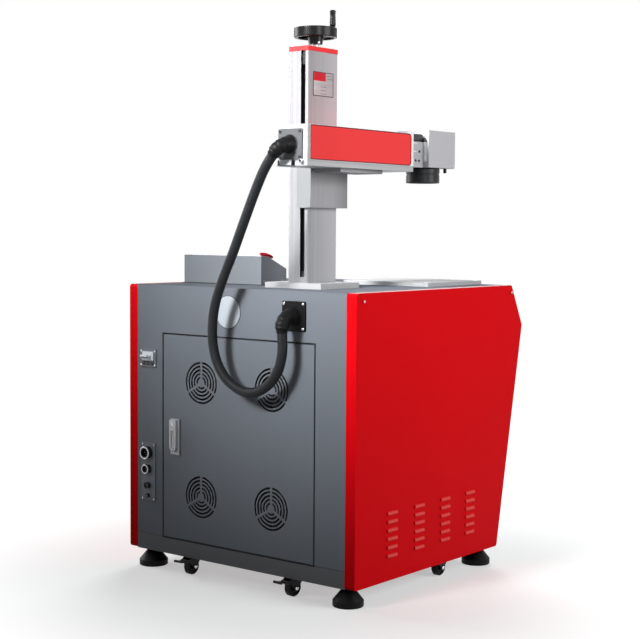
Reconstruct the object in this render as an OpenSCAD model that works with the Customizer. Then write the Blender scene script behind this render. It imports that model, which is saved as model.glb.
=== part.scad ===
// Laser marking machine on a wheeled cabinet: crank-driven lift column, laser arm and marking head.
// Millimetres. +Z is up, the operator's side faces -Y, the origin is on the floor below the middle.

/* [Cabinet] */
// Width over both side panels
body_w = 794; // [740:1:840]
// Height from the bottom edge to the top deck
body_h = 740; // [700:1:780]
// Height of the bottom edge above the floor
body_lift = 52; // [52:1:58]
// Depth of the top deck
top_depth = 731; // [710:1:750]
// Depth at the front knee
knee_depth = 790; // [775:1:820]
// Depth along the bottom edge
base_depth = 668; // [650:1:690]
// Height of the front knee above the bottom edge
knee_h = 625; // [610:1:640]
// Thickness of the folded side panels
panel_t = 31; // [27:1:34]
// Rounding of the corners of the side panels
panel_corner_r = 8; // [4:1:12]
// Sheet metal thickness
sheet_t = 2; // [1.6:0.1:2.2]
// Height of the rear skirt under the door
skirt_h = 45; // [42:1:47]
// Gap around each door
door_gap = 2; // [1.6:0.1:3]

/* [Side louvres] */
// Columns of louvres
louvre_cols = 4; // [2:1:5]
// Rows of louvres
louvre_rows = 6; // [3:1:7]
// Length of one louvre
louvre_l = 42; // [30:1:60]
// Height of one louvre
louvre_h = 9; // [6:0.5:11]
// Height that a louvre stands out of the panel
louvre_out = 5; // [3:0.5:6]
// Distance between louvre columns
louvre_col_pitch = 122; // [110:1:128]
// Distance between louvre rows
louvre_row_pitch = 22; // [18:1:24]
// Setback of the first louvre column from the rear
louvre_setback = 156; // [140:1:170]
// Height of the lowest louvre above the bottom edge
louvre_low = 61; // [50:1:80]

/* [Frame] */
// Width of the bottom frame tubes
tube_w = 40; // [36:1:44]
// Height of the bottom frame tubes
tube_h = 30; // [28:1:34]
// Side of the upright tubes
upright_w = 30; // [24:1:30]
// Height of the top rails
rail_h = 20; // [16:1:26]
// Height of the frame above the bottom edge
frame_raise = 20; // [18:1:22]
// Setback of the frame from the rear face
frame_inset = 22; // [21.8:0.1:26]
// Height of the equipment shelf above the bottom edge
shelf_h = 330; // [300:1:360]

/* [Feet and casters] */
// Diameter of a levelling foot
foot_d = 80; // [60:1:90]
// Thickness of the foot's edge
foot_edge_h = 16; // [12:0.5:18]
// Height of the foot's cone
foot_cone_h = 44; // [38:1:46]
// Diameter at the top of the foot's cone
foot_neck_d = 34; // [26:1:40]
// Diameter of the foot's threaded stem
foot_stem_d = 12; // [10:1:16]
// Diameter of a caster wheel
caster_d = 46; // [40:1:46]
// Width of a caster wheel
caster_w = 20; // [16:1:24]
// Distance from the swivel axis to the wheel axle
caster_trail = 20; // [16:1:24]
// Distance of the rear casters from the middle
rear_caster_x = 182; // [150:1:220]
// Setback of the front casters from the rear
front_caster_setback = 430; // [400:1:480]
// Height of the caster wheels above the floor while the feet carry
caster_clear = 1; // [0.5:0.5:1]

/* [Doors and fans] */
// Distance from each door's edge to the side panels
door_border = 101; // [90:1:110]
// Height of the rear door
rear_door_h = 559; // [540:1:580]
// Height of the front door
front_door_h = 480; // [460:1:490]
// Height of the front door above the bottom edge, along the slope
front_door_low = 92; // [88:1:100]
// Depth of the folded door edges
door_depth = 18; // [16:0.5:19]
// Distance between fans across the door
fan_pitch_x = 248; // [220:1:270]
// Distance between fans up the door
fan_pitch_z = 310; // [250:1:340]
// Side of a fan frame
fan_size = 120; // [118:1:124]
// Depth of a fan frame
fan_depth = 38; // [30:1:40]
// Diameter of a fan rotor
rotor_d = 108; // [100:1:110]
// Number of fan blades
blade_count = 7; // [5:1:9]
// Diameter of a punched grille
grille_d = 114; // [106:1:114]
// Width of a grille slot
grille_slot = 5.4; // [4:0.2:6]
// Width of a bar between slots
grille_bar = 4.5; // [3:0.5:5]
// Rings of slots in a grille
grille_rings = 5; // [3:1:5]

/* [Lift column] */
// Width of the column
post_w = 64; // [60:1:70]
// Depth of the column
post_d = 125; // [120:1:132]
// Length of the column
post_h = 605; // [560:1:640]
// Wall of the column
post_wall = 6; // [5:0.5:7]
// Distance of the column's axis left of the middle
post_left = 109; // [90:1:120]
// Setback of the column's axis from the rear
post_setback = 183; // [170:1:200]
// Width of the slot in the column
slot_w = 15; // [12:1:18]
// Distance of the slot from the column's side
slot_inset = 8.5; // [7:0.5:10]
// Thickness of the column's base plate
base_plate_t = 15; // [10:1:18]
// Width of the base plate
base_plate_w = 190; // [170:1:210]
// Depth of the base plate
base_plate_d = 165; // [150:1:180]
// Thickness of the column's cap
cap_t = 12; // [8:1:14]
// Diameter of the lift screw
screw_d = 16; // [12:1:18]
// Diameter of a guide rod
rod_d = 12; // [10:1:14]
// Distance between the guide rods
rod_pitch = 76; // [70:1:80]

/* [Handwheel] */
// Diameter of the handwheel
wheel_d = 116; // [106:1:130]
// Height of the handwheel's rim
rim_h = 26; // [20:1:28]
// Width of the rim
rim_w = 10; // [8:0.5:14]
// Diameter of the crank knob
knob_d = 17; // [14:0.5:22]
// Length of the crank knob
knob_l = 43; // [30:1:50]
// Distance of the crank knob from the handwheel's axis
knob_reach = 45; // [42:1:46]

/* [Laser arm] */
// Width of the arm
arm_w = 106; // [96:1:116]
// Height of the arm
arm_h = 103; // [98:1:112]
// Length of the arm
arm_l = 456; // [440:1:480]
// Reach of the arm behind the rear face
arm_over = 35; // [25:1:45]
// Height of the arm above the deck
arm_rest_h = 313; // [290:1:330]
// Height of the arm's open channel
channel_h = 15; // [12:1:20]
// Sheet thickness of the arm's red cover
cover_t = 2; // [1.5:0.1:3]

/* [Marking head] */
// Width of the scan head
head_w = 108; // [100:1:116]
// Depth of the scan head
head_d = 131; // [124:1:140]
// Height of the scan head
head_h = 102; // [100:1:110]
// Wall of the scan head
head_wall = 6; // [5:0.5:8]
// Distance from the arm to the scan head
coupling_l = 73; // [60:1:80]
// Outer diameter of the lens
lens_d = 94; // [84:1:96]
// Height of the lens below the head
lens_h = 42; // [38:1:50]
// Distance of the lens behind the head's middle
lens_back = 15; // [8:1:16]

/* [Work table and console] */
// Width of the work table
table_w = 290; // [260:1:310]
// Depth of the work table
table_d = 273; // [250:1:290]
// Thickness of the work table
table_t = 11; // [8:1:14]
// Diameter of the fixture holes
table_hole_d = 8.5; // [6.6:0.1:10.5]
// Spacing of the fixture holes
table_hole_pitch = 200; // [150:1:220]
// Width of the console
console_w = 292; // [260:1:300]
// Depth of the console
console_d = 108; // [100:1:120]
// Height of the console
console_h = 80; // [76:1:90]
// Depth of the console's flat top
console_flat = 26; // [22:1:34]
// Height of the console's front edge
console_front_h = 44; // [36:1:48]

/* [Hidden] */
$fn = 64;

// Clearances: a running fit, a gap between moving faces, and the overrun of a cut
run_gap = 0.05;
move_gap = 0.3;
eps = 0.5;
// Steps along a drawn arc
arc_steps = 6;

// Cable glands and hose
hose_d = 26;
gland_plate_w = 76;
gland_plate_t = 4;
upper_boss_l = 8;
upper_elbow_r = 28;
lower_boss_l = 16;
lower_elbow_r = 30;
elbow_d = 30;
boss_d = 40;
gland_x = -200;
gland_drop = 64;
gland_rise = body_h - gland_drop;
upper_gland_rise = 54;
upper_outlet_turn = 47;
gland_reach = arm_over + gland_plate_t + upper_boss_l + upper_elbow_r + elbow_d / 2;

// Places of the main faces
rear_y = (knee_depth - gland_reach) / 2;
deck_z = body_lift + body_h;
inner_x = body_w / 2 - panel_t;
frame_z = body_lift + frame_raise;
ring_top = frame_z + tube_h;
frame_front_gap = 8;
frame_l = min(base_depth, top_depth) - frame_front_gap - frame_inset;
foot_x = inner_x - tube_w / 2;
rear_foot_y = rear_y - frame_inset - tube_w / 2;
front_foot_y = rear_y - frame_inset - frame_l + tube_w / 2;

// Slopes of the two front faces
front_y = rear_y - base_depth;
front_tilt = atan((knee_depth - base_depth) / knee_h);
brow_tilt = atan((knee_depth - top_depth) / (body_h - knee_h));

// Doors: hinge pins near the outer face, the rear door standing on the skirt's edge
door_w = 2 * (inner_x - door_border);
rear_door_low = skirt_h + door_gap;
rear_door_mid = rear_door_low + rear_door_h / 2;
front_door_mid = front_door_low + front_door_h / 2;
pin_inset = 4;
pin_d = 6;
pin_l = 9;
return_d = frame_inset - sheet_t;

// Swing handle: plate, lever, shaft and cam
lock_w = 40;
lock_h = 103;
lock_t = 3;
lever_w = 24;
lever_l = 84;
lever_t = 9;
handle_inset = 45;
handle_x = door_w / 2 - handle_inset;
shaft_d = 16;
cam_l = 60;
cam_w = 18;
cam_t = 3;
lock_rise = (lock_h - lever_w) / 2 - door_gap * 2;
grille_hub_r = grille_d / 2 - grille_rings * grille_slot - (grille_rings - 1) * grille_bar;

// Fans behind the door
duct_d = 112;
fan_web_t = 4;
fan_hub_d = 44;
fan_shaft_d = 5;
strut_w = 6;
blade_t = 2;
blade_tilt = 38;
fan_skin_gap = 1;

// Casters: only the swivel neck reaches above the cabinet's bottom edge
caster_plate_t = 3;
king_d = 10;
king_head_d = 18;
king_head_t = 2;
neck_d = 34;
fork_t = 3;
cheek_gap = 1;
fork_w = caster_w + 2 * fork_t + 2 * cheek_gap;
axle_d = 8;
axle_z = caster_clear + caster_d / 2;
fork_top = body_lift - cheek_gap;
neck_top = frame_z - caster_plate_t - move_gap;
king_low = (fork_top + neck_top) / 2 - move_gap - king_head_t;
pedal_pivot = [26, 18];
pedal_pin_d = 5;
pedal_boss_d = 8;
pedal_l = 30;
pedal_t = 3;
shoe_reach = norm(pedal_pivot) - caster_d / 2 - cheek_gap;
shoe_turn = 20;

// Lift column and its drive
post_x = -post_left;
post_y = rear_y - post_setback;
post_z = deck_z + base_plate_t;
post_top = post_z + post_h;
slot_x = post_x - post_w / 2 + slot_inset;
block_low_h = 30;
block_top_h = 35;
screw_foot = 12;
screw_front = 8;
screw_y = post_y - screw_front;
cap_lip = 1;
hub_d = 46;
hub_foot_d = 37;
hub_h = 33;
hub_raise = 11;
wheel_raise = 28;
spoke_w = 14;
spoke_t = 7;
knob_turn = 219;
knob_boss_h = 4;
knob_pin_d = 6;

// Carriage, set against the column's left side
bracket_gap = 20;
bracket_t = 15;
bracket_h = 198;
bracket_drop = 101;
flange_reach = 26;
rear_flange_t = 10.5;
front_flange_t = 20;
tongue_gap = 0.75;
nut_w = 48;
nut_d = 100;
nut_h = 60;
shelf_t = 10;
shelf_w = 90;
shelf_front = 35;

// Laser arm
arm_x = post_x - post_w / 2 - bracket_gap - arm_w / 2;
arm_z = deck_z + arm_rest_h;
arm_rear = rear_y + arm_over;
arm_front = arm_rear - arm_l;
channel_wall = 6;
channel_floor = 8;
end_t = 10;
nose_t = 6;
nose_r = 16;
tube_d = 44;
tube_l = 190;
block_w = 84;
block_h = 70;
block_rise = 14;
cable_cap_h = 22;
flange_t = 12;
flange_w = 96;
flange_h = 68;

// Scan head and lens
head_z = arm_z + channel_h;
head_rear = arm_front - coupling_l;
lens_x = arm_x;
lens_y = head_rear - head_d / 2 + lens_back;
beam_rise = 46;
mirror_pitch = 26;
mirror_size = [18, 3, 16];
mirror_shaft_d = 4;
mirror_shaft_l = 12;
motor_d = 24;
port_d = 60;
barrel_wall = 9;
glass_t = 6;
pointer_d = 8;
pointer_l = 12;
pointer_setback = 32;
// Outline of the lens: radius and height as shares of its own, from the bottom edge up
lens_shares = [[0.97, 0], [1, 0.05], [1, 0.52], [0.98, 0.55], [0.98, 0.62], [1, 0.65], [1, 0.92],
               [0.97, 1]];
lens_throat_shares = [0.6, 0.7];

// Rear fittings
panel_inset = 44;
panel_x = inner_x - panel_inset;
connector_plate = [53, 161];
connector_mid = 220;
// Each connector: height above the plate's middle, diameter and length as shares of its height
connector_shares = [[0.335, 0.21, 0.1], [0.05, 0.15, 0.087], [-0.236, 0.112, 0.062],
                    [-0.416, 0.075, 0.05]];
connector_bore_share = 0.7;
breaker_plate = [60, 50];
breaker_drop = 203;
breaker_mid = body_h - breaker_drop;
breaker_nose = [42, 36];
fitting_t = 3;

// Console controls
console_x = 218;
console_rear_setback = 184;
console_tilt = atan((console_h - console_front_h) / (console_d - console_flat));
console_slope_l = norm([console_h - console_front_h, console_d - console_flat]);
control_mid = console_slope_l / 2;
estop_d = 40;
estop_h = 12;
estop_stem_d = 14;
estop_lift = 5;
estop_place = [-120, 23];
start_d = 18;
start_place = [20, control_mid];
key_place = [85, control_mid];
key_d = 19;
collar_h = 3;
collar_wall = 4;

// Work table
table_x = -157;
table_setback = 447;

// Equipment in the cabinet
source_size = [300, 420, 150];
source_x = -150;
source_setback = 110;
unit_size = [430, 400, 178];
unit_x = 60;
unit_setback = 120;
fin_t = 4;
fin_gap = 14;
fin_h = 12;

// Hose from the arm's gland to the cabinet's gland: both outlets, and points chosen by hand
hose_out = [cos(upper_outlet_turn), 0, -sin(upper_outlet_turn)];
hose_start = [arm_x, arm_rear + gland_plate_t + upper_boss_l + upper_elbow_r,
              arm_z + upper_gland_rise] + (upper_elbow_r + run_gap) * hose_out;
hose_end = [gland_x, rear_y + gland_plate_t + lower_boss_l + lower_elbow_r,
            body_lift + gland_rise - lower_elbow_r - run_gap];
hose_route = concat([hose_start], [
    [-161, 423, 1098], [-127, 420, 1042], [-88, 418, 965], [-49, 415, 888], [-22, 412, 841],
    [5, 410, 788], [23, 408, 740], [31, 406, 694], [31, 404, 648], [18, 403, 602],
    [-10, 402, 563], [-47, 401, 539], [-87, 401, 529], [-128, 400, 537], [-163, 400, 560],
    [-189, 400, 594], [-201, 400, 634], [-202, 400, 668]], [hose_end]);
hose_sides = 12;

// Small geometry helpers
function unit(v) = v / norm(v);
function turned(v, a) = [v.x * cos(a) - v.y * sin(a), v.x * sin(a) + v.y * cos(a)];
function corner_arc(a, p, b, r) =
    let (u = unit(p - a), v = unit(b - p), turn = acos(u * v), n = [-u.y, u.x],
         c = p - u * r * tan(turn / 2) + n * r)
    [for (i = [0:arc_steps]) c + r * turned(-n, turn * i / arc_steps)];
function rounded(points, r) =
    [for (i = [0:len(points) - 1])
        each corner_arc(points[(i + len(points) - 1) % len(points)], points[i],
                        points[(i + 1) % len(points)], r)];
function inset(points, d) =
    [for (i = [0:len(points) - 1])
        let (a = points[(i + len(points) - 1) % len(points)], p = points[i],
             b = points[(i + 1) % len(points)], u = unit(p - a), v = unit(b - p),
             m = [-u.y, u.x], n = [-v.y, v.x])
        p + d * (m + n) / (1 + m * n)];
function side_outline() =
    [[0, 0], [base_depth, 0], [knee_depth, knee_h], [top_depth, body_h], [0, body_h]];

// A box between two corners given as spans
module slab(x, y, z) {
    translate([x[0], y[0], z[0]]) cube([x[1] - x[0], y[1] - y[0], z[1] - z[0]]);
}

// Shapes drawn as depth from the rear and height above the bottom edge, extruded across
module across(x, t) {
    translate([x + t, rear_y, body_lift]) rotate([90, 0, -90]) linear_extrude(t) children();
}

// Children drawn on the rear face: x across, z above the bottom edge, +y outward
module on_rear() {
    translate([0, rear_y, body_lift]) children();
}

// Children drawn on the sloping front face in the same way
module on_front() {
    translate([0, front_y, body_lift]) rotate([front_tilt, 0, 0]) rotate([0, 0, 180]) children();
}

// Children drawn on the console's slope: x across, y down the slope, z outward
module on_console() {
    translate([console_x, rear_y - console_rear_setback - console_flat, deck_z + console_h])
        rotate([console_tilt, 0, 0]) mirror([0, 1, 0]) children();
}

module rounded_plate(w, h, r, t) {
    translate([0, t, 0]) rotate([90, 0, 0]) linear_extrude(t)
        polygon(rounded([[-w / 2, -h / 2], [w / 2, -h / 2], [w / 2, h / 2], [-w / 2, h / 2]], r));
}

// Main frame
module frame_tubes() {
    y1 = rear_y - frame_inset;
    y0 = y1 - frame_l;
    rail_z = deck_z - sheet_t - rail_h;
    for (s = [-1, 1]) {
        slab([s * inner_x - (s > 0 ? tube_w : 0), s * inner_x + (s > 0 ? 0 : tube_w)], [y0, y1],
             [frame_z, ring_top]);
        slab([s * inner_x - (s > 0 ? upright_w : 0), s * inner_x + (s > 0 ? 0 : upright_w)],
             [y0, y1], [rail_z, rail_z + rail_h]);
        for (y = [y0, y1 - upright_w])
            slab([s * inner_x - (s > 0 ? upright_w : 0), s * inner_x + (s > 0 ? 0 : upright_w)],
                 [y, y + upright_w], [ring_top, rail_z]);
        slab([s * (inner_x - upright_w / 2) - rail_h / 2, s * (inner_x - upright_w / 2) + rail_h / 2],
             [y0 + upright_w, y1 - upright_w],
             [body_lift + shelf_h - rail_h, body_lift + shelf_h]);
    }
    for (y = [y0, y1 - tube_w])
        slab([tube_w - inner_x, inner_x - tube_w], [y, y + tube_w], [frame_z, ring_top]);
    for (y = [y0, y1 - upright_w])
        slab([upright_w - inner_x, inner_x - upright_w], [y, y + upright_w],
             [rail_z, rail_z + rail_h]);
    for (s = [-1, 1])
        translate([0, s * (base_plate_d - upright_w) / 2, 0])
            slab([upright_w - inner_x, inner_x - upright_w],
                 [post_y - upright_w / 2, post_y + upright_w / 2], [rail_z, rail_z + rail_h]);
}

module frame_sheets() {
    y1 = rear_y - frame_inset;
    y0 = y1 - frame_l;
    shelf_x = inner_x - upright_w / 2 + rail_h / 2;
    slab([upright_w - inner_x, inner_x - upright_w], [y0, y1], [ring_top, ring_top + sheet_t]);
    slab([-shelf_x, shelf_x], [y0 + upright_w, y1 - upright_w],
         [body_lift + shelf_h, body_lift + shelf_h + sheet_t]);
    difference() {
        union() {
            slab([-inner_x, inner_x], [rear_y - sheet_t, rear_y], [body_lift, body_lift + skirt_h]);
            slab([-inner_x, inner_x], [y1, rear_y],
                 [body_lift + skirt_h - sheet_t, body_lift + skirt_h]);
        }
        on_rear() hinge_pin_place(skirt_h - pin_l) cylinder(h = 2 * pin_l, d = pin_d + 2 * run_gap);
    }
}

module caster_plates() {
    // A plate and a headed king pin for each caster
    for (p = caster_places())
        translate([p.x, p.y, 0]) {
            slab([-tube_w / 2, tube_w / 2], [-tube_w / 2, tube_w / 2],
                 [frame_z - caster_plate_t, frame_z]);
            translate([0, 0, king_low])
                cylinder(h = frame_z - caster_plate_t - king_low, d = king_d);
            translate([0, 0, king_low]) cylinder(h = king_head_t, d = king_head_d);
        }
}

module main_frame() {
    color("dimgray") difference() {
        union() {
            frame_tubes();
            frame_sheets();
            caster_plates();
        }
        for (p = foot_places())
            translate([p.x, p.y, frame_z - eps])
                cylinder(h = tube_h + sheet_t + 2 * eps, d = foot_stem_d + 2 * run_gap);
    }
}

// Side panels: folded trays, open towards the cabinet, with pressed louvres
module louvre_form(base, t) {
    // A louvre's curved section from the depth of its base, thinner all round by t
    span = louvre_l - 2 * t;
    rise = louvre_h - t;
    out = louvre_out - t;
    low = t > 0 ? -eps : 0;
    translate([body_w / 2, span / 2, 0]) rotate([90, 0, 0]) linear_extrude(span)
        polygon(concat([[base, low], [base, rise]],
                       [for (i = [0:arc_steps])
                           let (a = 90 * i / arc_steps) [out * sin(a), rise * cos(a)]],
                       t > 0 ? [[out, low]] : []));
}

module louvre_field() {
    // Children are placed at each louvre, with +X out of the panel
    for (c = [0:louvre_cols - 1], r = [0:louvre_rows - 1])
        translate([0, rear_y - louvre_setback - c * louvre_col_pitch,
                   body_lift + louvre_low + r * louvre_row_pitch])
            children();
}

module side_panel(s) {
    outer = rounded(side_outline(), panel_corner_r);
    inner = rounded(inset(side_outline(), sheet_t), panel_corner_r - sheet_t);
    color("red") scale([s, 1, 1]) difference() {
        union() {
            difference() {
                across(inner_x, panel_t) polygon(outer);
                across(inner_x - eps, panel_t - sheet_t + eps) polygon(inner);
            }
            louvre_field() louvre_form(-sheet_t / 2, 0);
        }
        louvre_field() {
            louvre_form(0, sheet_t / 2);
            slab([body_w / 2 - sheet_t - eps, body_w / 2 + eps],
                 [sheet_t - louvre_l / 2, louvre_l / 2 - sheet_t],
                 [sheet_t / 2, louvre_h - sheet_t]);
        }
    }
}

// Places of the feet, casters and fans
function foot_places() =
    [[-foot_x, rear_foot_y], [foot_x, rear_foot_y], [-foot_x, front_foot_y], [foot_x, front_foot_y]];
function caster_places() =
    [[-rear_caster_x, rear_foot_y, 86], [rear_caster_x, rear_foot_y, 95],
     [-foot_x, rear_y - front_caster_setback, 272], [foot_x, rear_y - front_caster_setback, 265]];
function fan_places() =
    [for (v = [1, -1], u = [-1, 1]) [u * fan_pitch_x / 2, rear_door_mid + v * fan_pitch_z / 2]];

// Rear panel around the door
module rear_panel() {
    low = skirt_h + door_gap / 2;
    high = body_h - sheet_t;
    half = door_w / 2 + door_gap;
    open_h = rear_door_low + rear_door_h + door_gap;
    color("slategray") on_rear() difference() {
        union() {
            slab([-inner_x, inner_x], [-sheet_t, 0], [low, high]);
            for (s = [-1, 1]) {
                slab([s * inner_x - (s > 0 ? sheet_t : 0), s * inner_x + (s > 0 ? 0 : sheet_t)],
                     [-frame_inset, 0], [low, high]);
                slab([s * half - (s > 0 ? 0 : sheet_t), s * half + (s > 0 ? sheet_t : 0)],
                     [-return_d, 0], [low, open_h + sheet_t]);
            }
            slab([-half, half], [-return_d, 0], [open_h, open_h + sheet_t]);
        }
        slab([-half, half], [-frame_inset, eps], [0, open_h]);
        hinge_pin_place(open_h - eps) cylinder(h = pin_l, d = pin_d + 2 * run_gap);
        translate([gland_x, eps, gland_rise]) rotate([90, 0, 0])
            cylinder(h = sheet_t + 2 * eps, d = hose_d);
        translate([panel_x, 0, connector_mid])
            slab([-connector_plate.x / 4, connector_plate.x / 4], [-sheet_t - eps, eps],
                 [-connector_plate.y / 3, connector_plate.y / 3]);
        translate([panel_x, 0, breaker_mid])
            slab([-breaker_nose.x / 2, breaker_nose.x / 2], [-sheet_t - eps, eps],
                 [-breaker_nose.y / 2, breaker_nose.y / 2]);
    }
}

module hinge_pin_place(z) {
    translate([pin_inset - door_w / 2, -pin_inset, z]) children();
}

// Top deck
module top_deck() {
    color("gray") difference() {
        slab([-inner_x, inner_x], [rear_y - top_depth, rear_y], [deck_z - sheet_t, deck_z]);
        translate([post_x, screw_y, deck_z - sheet_t - eps])
            cylinder(h = sheet_t + 2 * eps, d = screw_d);
    }
}

// Front panel: lower face around the door, and the brow above the knee
module front_panel() {
    low = front_door_low - door_gap;
    high = front_door_low + front_door_h + door_gap;
    half = door_w / 2 + door_gap;
    o = side_outline();
    i = inset(o, sheet_t);
    color("slategray") difference() {
        union() {
            across(-inner_x, 2 * inner_x)
                polygon([o[1], o[2], o[3] + unit(o[2] - o[3]) * sheet_t / cos(brow_tilt), i[3],
                         i[2], [o[1].x - sheet_t / cos(front_tilt), 0]]);
            on_front() slab([-half - sheet_t, half + sheet_t], [-return_d, 0],
                            [low - sheet_t, high + sheet_t]);
        }
        on_front() {
            slab([-half, half], [-return_d - eps, eps], [low, high]);
            hinge_pin_place(low - pin_l) cylinder(h = 2 * pin_l, d = pin_d + 2 * run_gap);
            hinge_pin_place(high - eps) cylinder(h = pin_l, d = pin_d + 2 * run_gap);
        }
    }
}

// A door: skin, folded edges, hinge pins, lock plate and shaft hole
module door_tray(h) {
    half = door_w / 2;
    difference() {
        union() {
            difference() {
                slab([-half, half], [-door_depth, 0], [0, h]);
                slab([sheet_t - half, half - sheet_t], [-door_depth - eps, -sheet_t],
                     [sheet_t, h - sheet_t]);
            }
            for (z = [-pin_l / 2, h - pin_l / 2])
                hinge_pin_place(z) cylinder(h = pin_l, d = pin_d);
            translate([handle_x, 0, h / 2]) rounded_plate(lock_w, lock_h, sheet_t * 2, lock_t);
        }
        translate([handle_x, lock_t + eps, h / 2 + lock_rise]) rotate([90, 0, 0])
            cylinder(h = lock_t + sheet_t + 2 * eps, d = shaft_d + 2 * run_gap);
    }
}

module grille_cut() {
    // Concentric slots crossed by three spokes
    rotate([90, 0, 0]) difference() {
        for (i = [0:grille_rings - 1]) {
            r = grille_d / 2 - i * (grille_slot + grille_bar);
            difference() {
                cylinder(h = sheet_t + 2 * eps, r = r);
                translate([0, 0, -eps]) cylinder(h = sheet_t + 4 * eps, r = r - grille_slot);
            }
        }
        for (a = [90, 210, 330])
            rotate([0, 0, a]) translate([grille_hub_r - grille_bar, -grille_bar * 3 / 4, -eps])
                cube([grille_d, grille_bar * 3 / 2, sheet_t + 4 * eps]);
    }
}

module rear_door() {
    color("slategray") on_rear() difference() {
        translate([0, 0, rear_door_low]) door_tray(rear_door_h);
        for (p = fan_places())
            translate([p.x, eps, p.y]) grille_cut();
    }
}

module front_door() {
    color("slategray") on_front() translate([0, 0, front_door_low]) door_tray(front_door_h);
}

// A swing handle: lever outside, shaft through the door, cam inside
module swing_handle(mid) {
    cam_y = -frame_inset;
    top = [[-lever_w / 2, -lever_w / 2], [lever_w / 2, -lever_w / 2]];
    low = [[lever_w / 2, lever_l - lever_w / 2], [-lever_w / 2, lever_l - lever_w / 2]];
    translate([handle_x, 0, mid + lock_rise]) {
        translate([0, lock_t + move_gap, 0]) difference() {
            rotate([-90, 0, 0]) linear_extrude(lever_t)
                polygon(concat([top[0], top[1]], corner_arc(top[1], low[0], low[1], lever_w * 0.45),
                               corner_arc(low[0], low[1], top[0], lever_w * 0.45)));
            translate([-lever_w / 4, lever_t / 2, lever_w * 3 / 4 - lever_l])
                cube([lever_w / 2, lever_t, lever_l - lever_w * 3 / 2]);
        }
        translate([0, cam_y - cam_t, 0]) rotate([-90, 0, 0])
            cylinder(h = lock_t + move_gap - cam_y + cam_t, d = shaft_d);
        translate([0, cam_y, 0]) rotate([90, 0, 0]) linear_extrude(cam_t)
            polygon(rounded([[-cam_w / 2, -cam_l], [cam_w / 2, -cam_l], [cam_w / 2, cam_w / 2],
                             [-cam_w / 2, cam_w / 2]], cam_w / 4));
    }
}

module rear_handle() {
    color("silver") on_rear() swing_handle(rear_door_mid);
}

module front_handle() {
    color("silver") on_front() swing_handle(front_door_mid);
}

// Fans
module fan_frame() {
    // Frame, struts and motor disc, from the door's skin inwards
    difference() {
        slab([-fan_size / 2, fan_size / 2], [-fan_depth, 0], [-fan_size / 2, fan_size / 2]);
        translate([0, eps, 0]) rotate([90, 0, 0]) cylinder(h = fan_depth + 2 * eps, d = duct_d);
    }
    for (a = [45:90:315])
        rotate([0, a, 0]) slab([0, duct_d / 2 + sheet_t], [-fan_depth, fan_web_t - fan_depth],
                               [-strut_w / 2, strut_w / 2]);
    translate([0, fan_web_t - fan_depth, 0]) rotate([90, 0, 0])
        cylinder(h = fan_web_t, d = fan_hub_d);
    translate([0, -fan_depth / 2, 0]) rotate([90, 0, 0])
        cylinder(h = fan_depth / 2 - fan_web_t, d = fan_shaft_d);
}

module fan_frames() {
    color("black") on_rear() for (p = fan_places())
        translate([p.x, -sheet_t, p.y]) fan_frame();
}

module fan_rotor(i) {
    p = fan_places()[i];
    front = -fan_depth / 6;
    depth = fan_depth * 5 / 6 - fan_web_t - fan_skin_gap;
    color("black") on_rear() translate([p.x, front - sheet_t, p.y]) difference() {
        union() {
            rotate([90, 0, 0]) cylinder(h = depth, d = fan_hub_d);
            intersection() {
                for (k = [0:blade_count - 1])
                    rotate([0, 360 * k / blade_count, 0])
                        translate([0, -depth / 2, 0]) rotate([blade_tilt, 0, 0])
                            slab([0, rotor_d], [-depth * 2 / 3, depth * 2 / 3],
                                 [-blade_t / 2, blade_t / 2]);
                rotate([90, 0, 0]) cylinder(h = depth, d = rotor_d);
            }
        }
        translate([0, -depth / 3, 0]) rotate([90, 0, 0])
            cylinder(h = depth, d = fan_shaft_d + 2 * run_gap);
    }
}

// Levelling feet
module foot(i) {
    p = foot_places()[i];
    color("black") translate([p.x, p.y, 0]) rotate_extrude()
        polygon([[0, 0], [foot_d / 2 - sheet_t, 0], [foot_d / 2, sheet_t], [foot_d / 2, foot_edge_h],
                 [foot_d / 2 - sheet_t, foot_edge_h + sheet_t], [foot_neck_d / 2, foot_cone_h],
                 [foot_stem_d / 2, foot_cone_h], [foot_stem_d / 2, ring_top - sheet_t],
                 [0, ring_top - sheet_t]]);
}

// Casters: the fork swivels under its plate, the wheel turns on the fork's axle
module caster_at(i) {
    p = caster_places()[i];
    translate([p.x, p.y, 0]) rotate([0, 0, p.z]) children();
}

module fork_cheek() {
    // Drawn as run from the swivel axis and height, with an ear for the pedal's pin
    r = axle_d;
    ear = [caster_trail + pedal_pivot.x, axle_z + pedal_pivot.y];
    linear_extrude(fork_t) difference() {
        union() {
            polygon([[-r, fork_top], [-r, fork_top - fork_t], [caster_trail - r, axle_z],
                     [caster_trail + r, axle_z], [ear.x + r / 3, ear.y],
                     [caster_trail + 2 * r, fork_top]]);
            translate([caster_trail, axle_z]) circle(r = r + cheek_gap);
            translate(ear) circle(d = pedal_boss_d);
        }
        translate(ear) circle(d = pedal_pin_d + 2 * run_gap);
    }
}

module caster_fork(i) {
    color("black") caster_at(i) difference() {
        union() {
            translate([0, 0, fork_top - fork_t])
                cylinder(h = neck_top - fork_top + fork_t, d = neck_d);
            slab([0, caster_trail + 2 * axle_d], [-fork_w / 2, fork_w / 2],
                 [fork_top - fork_t, fork_top]);
            for (y = [fork_w / 2, fork_t - fork_w / 2])
                translate([0, y, 0]) rotate([90, 0, 0]) fork_cheek();
            translate([caster_trail, fork_w / 2 + fork_t / 2, axle_z]) rotate([90, 0, 0])
                cylinder(h = fork_w + fork_t, d = axle_d);
        }
        translate([0, 0, fork_top - fork_t - eps])
            cylinder(h = neck_top - fork_top + fork_t + 2 * eps, d = king_d + 2 * run_gap);
        translate([0, 0, fork_top - fork_t - eps])
            cylinder(h = (neck_top - fork_top) / 2 + fork_t + eps, d = king_head_d + 2 * cheek_gap);
    }
}

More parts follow.
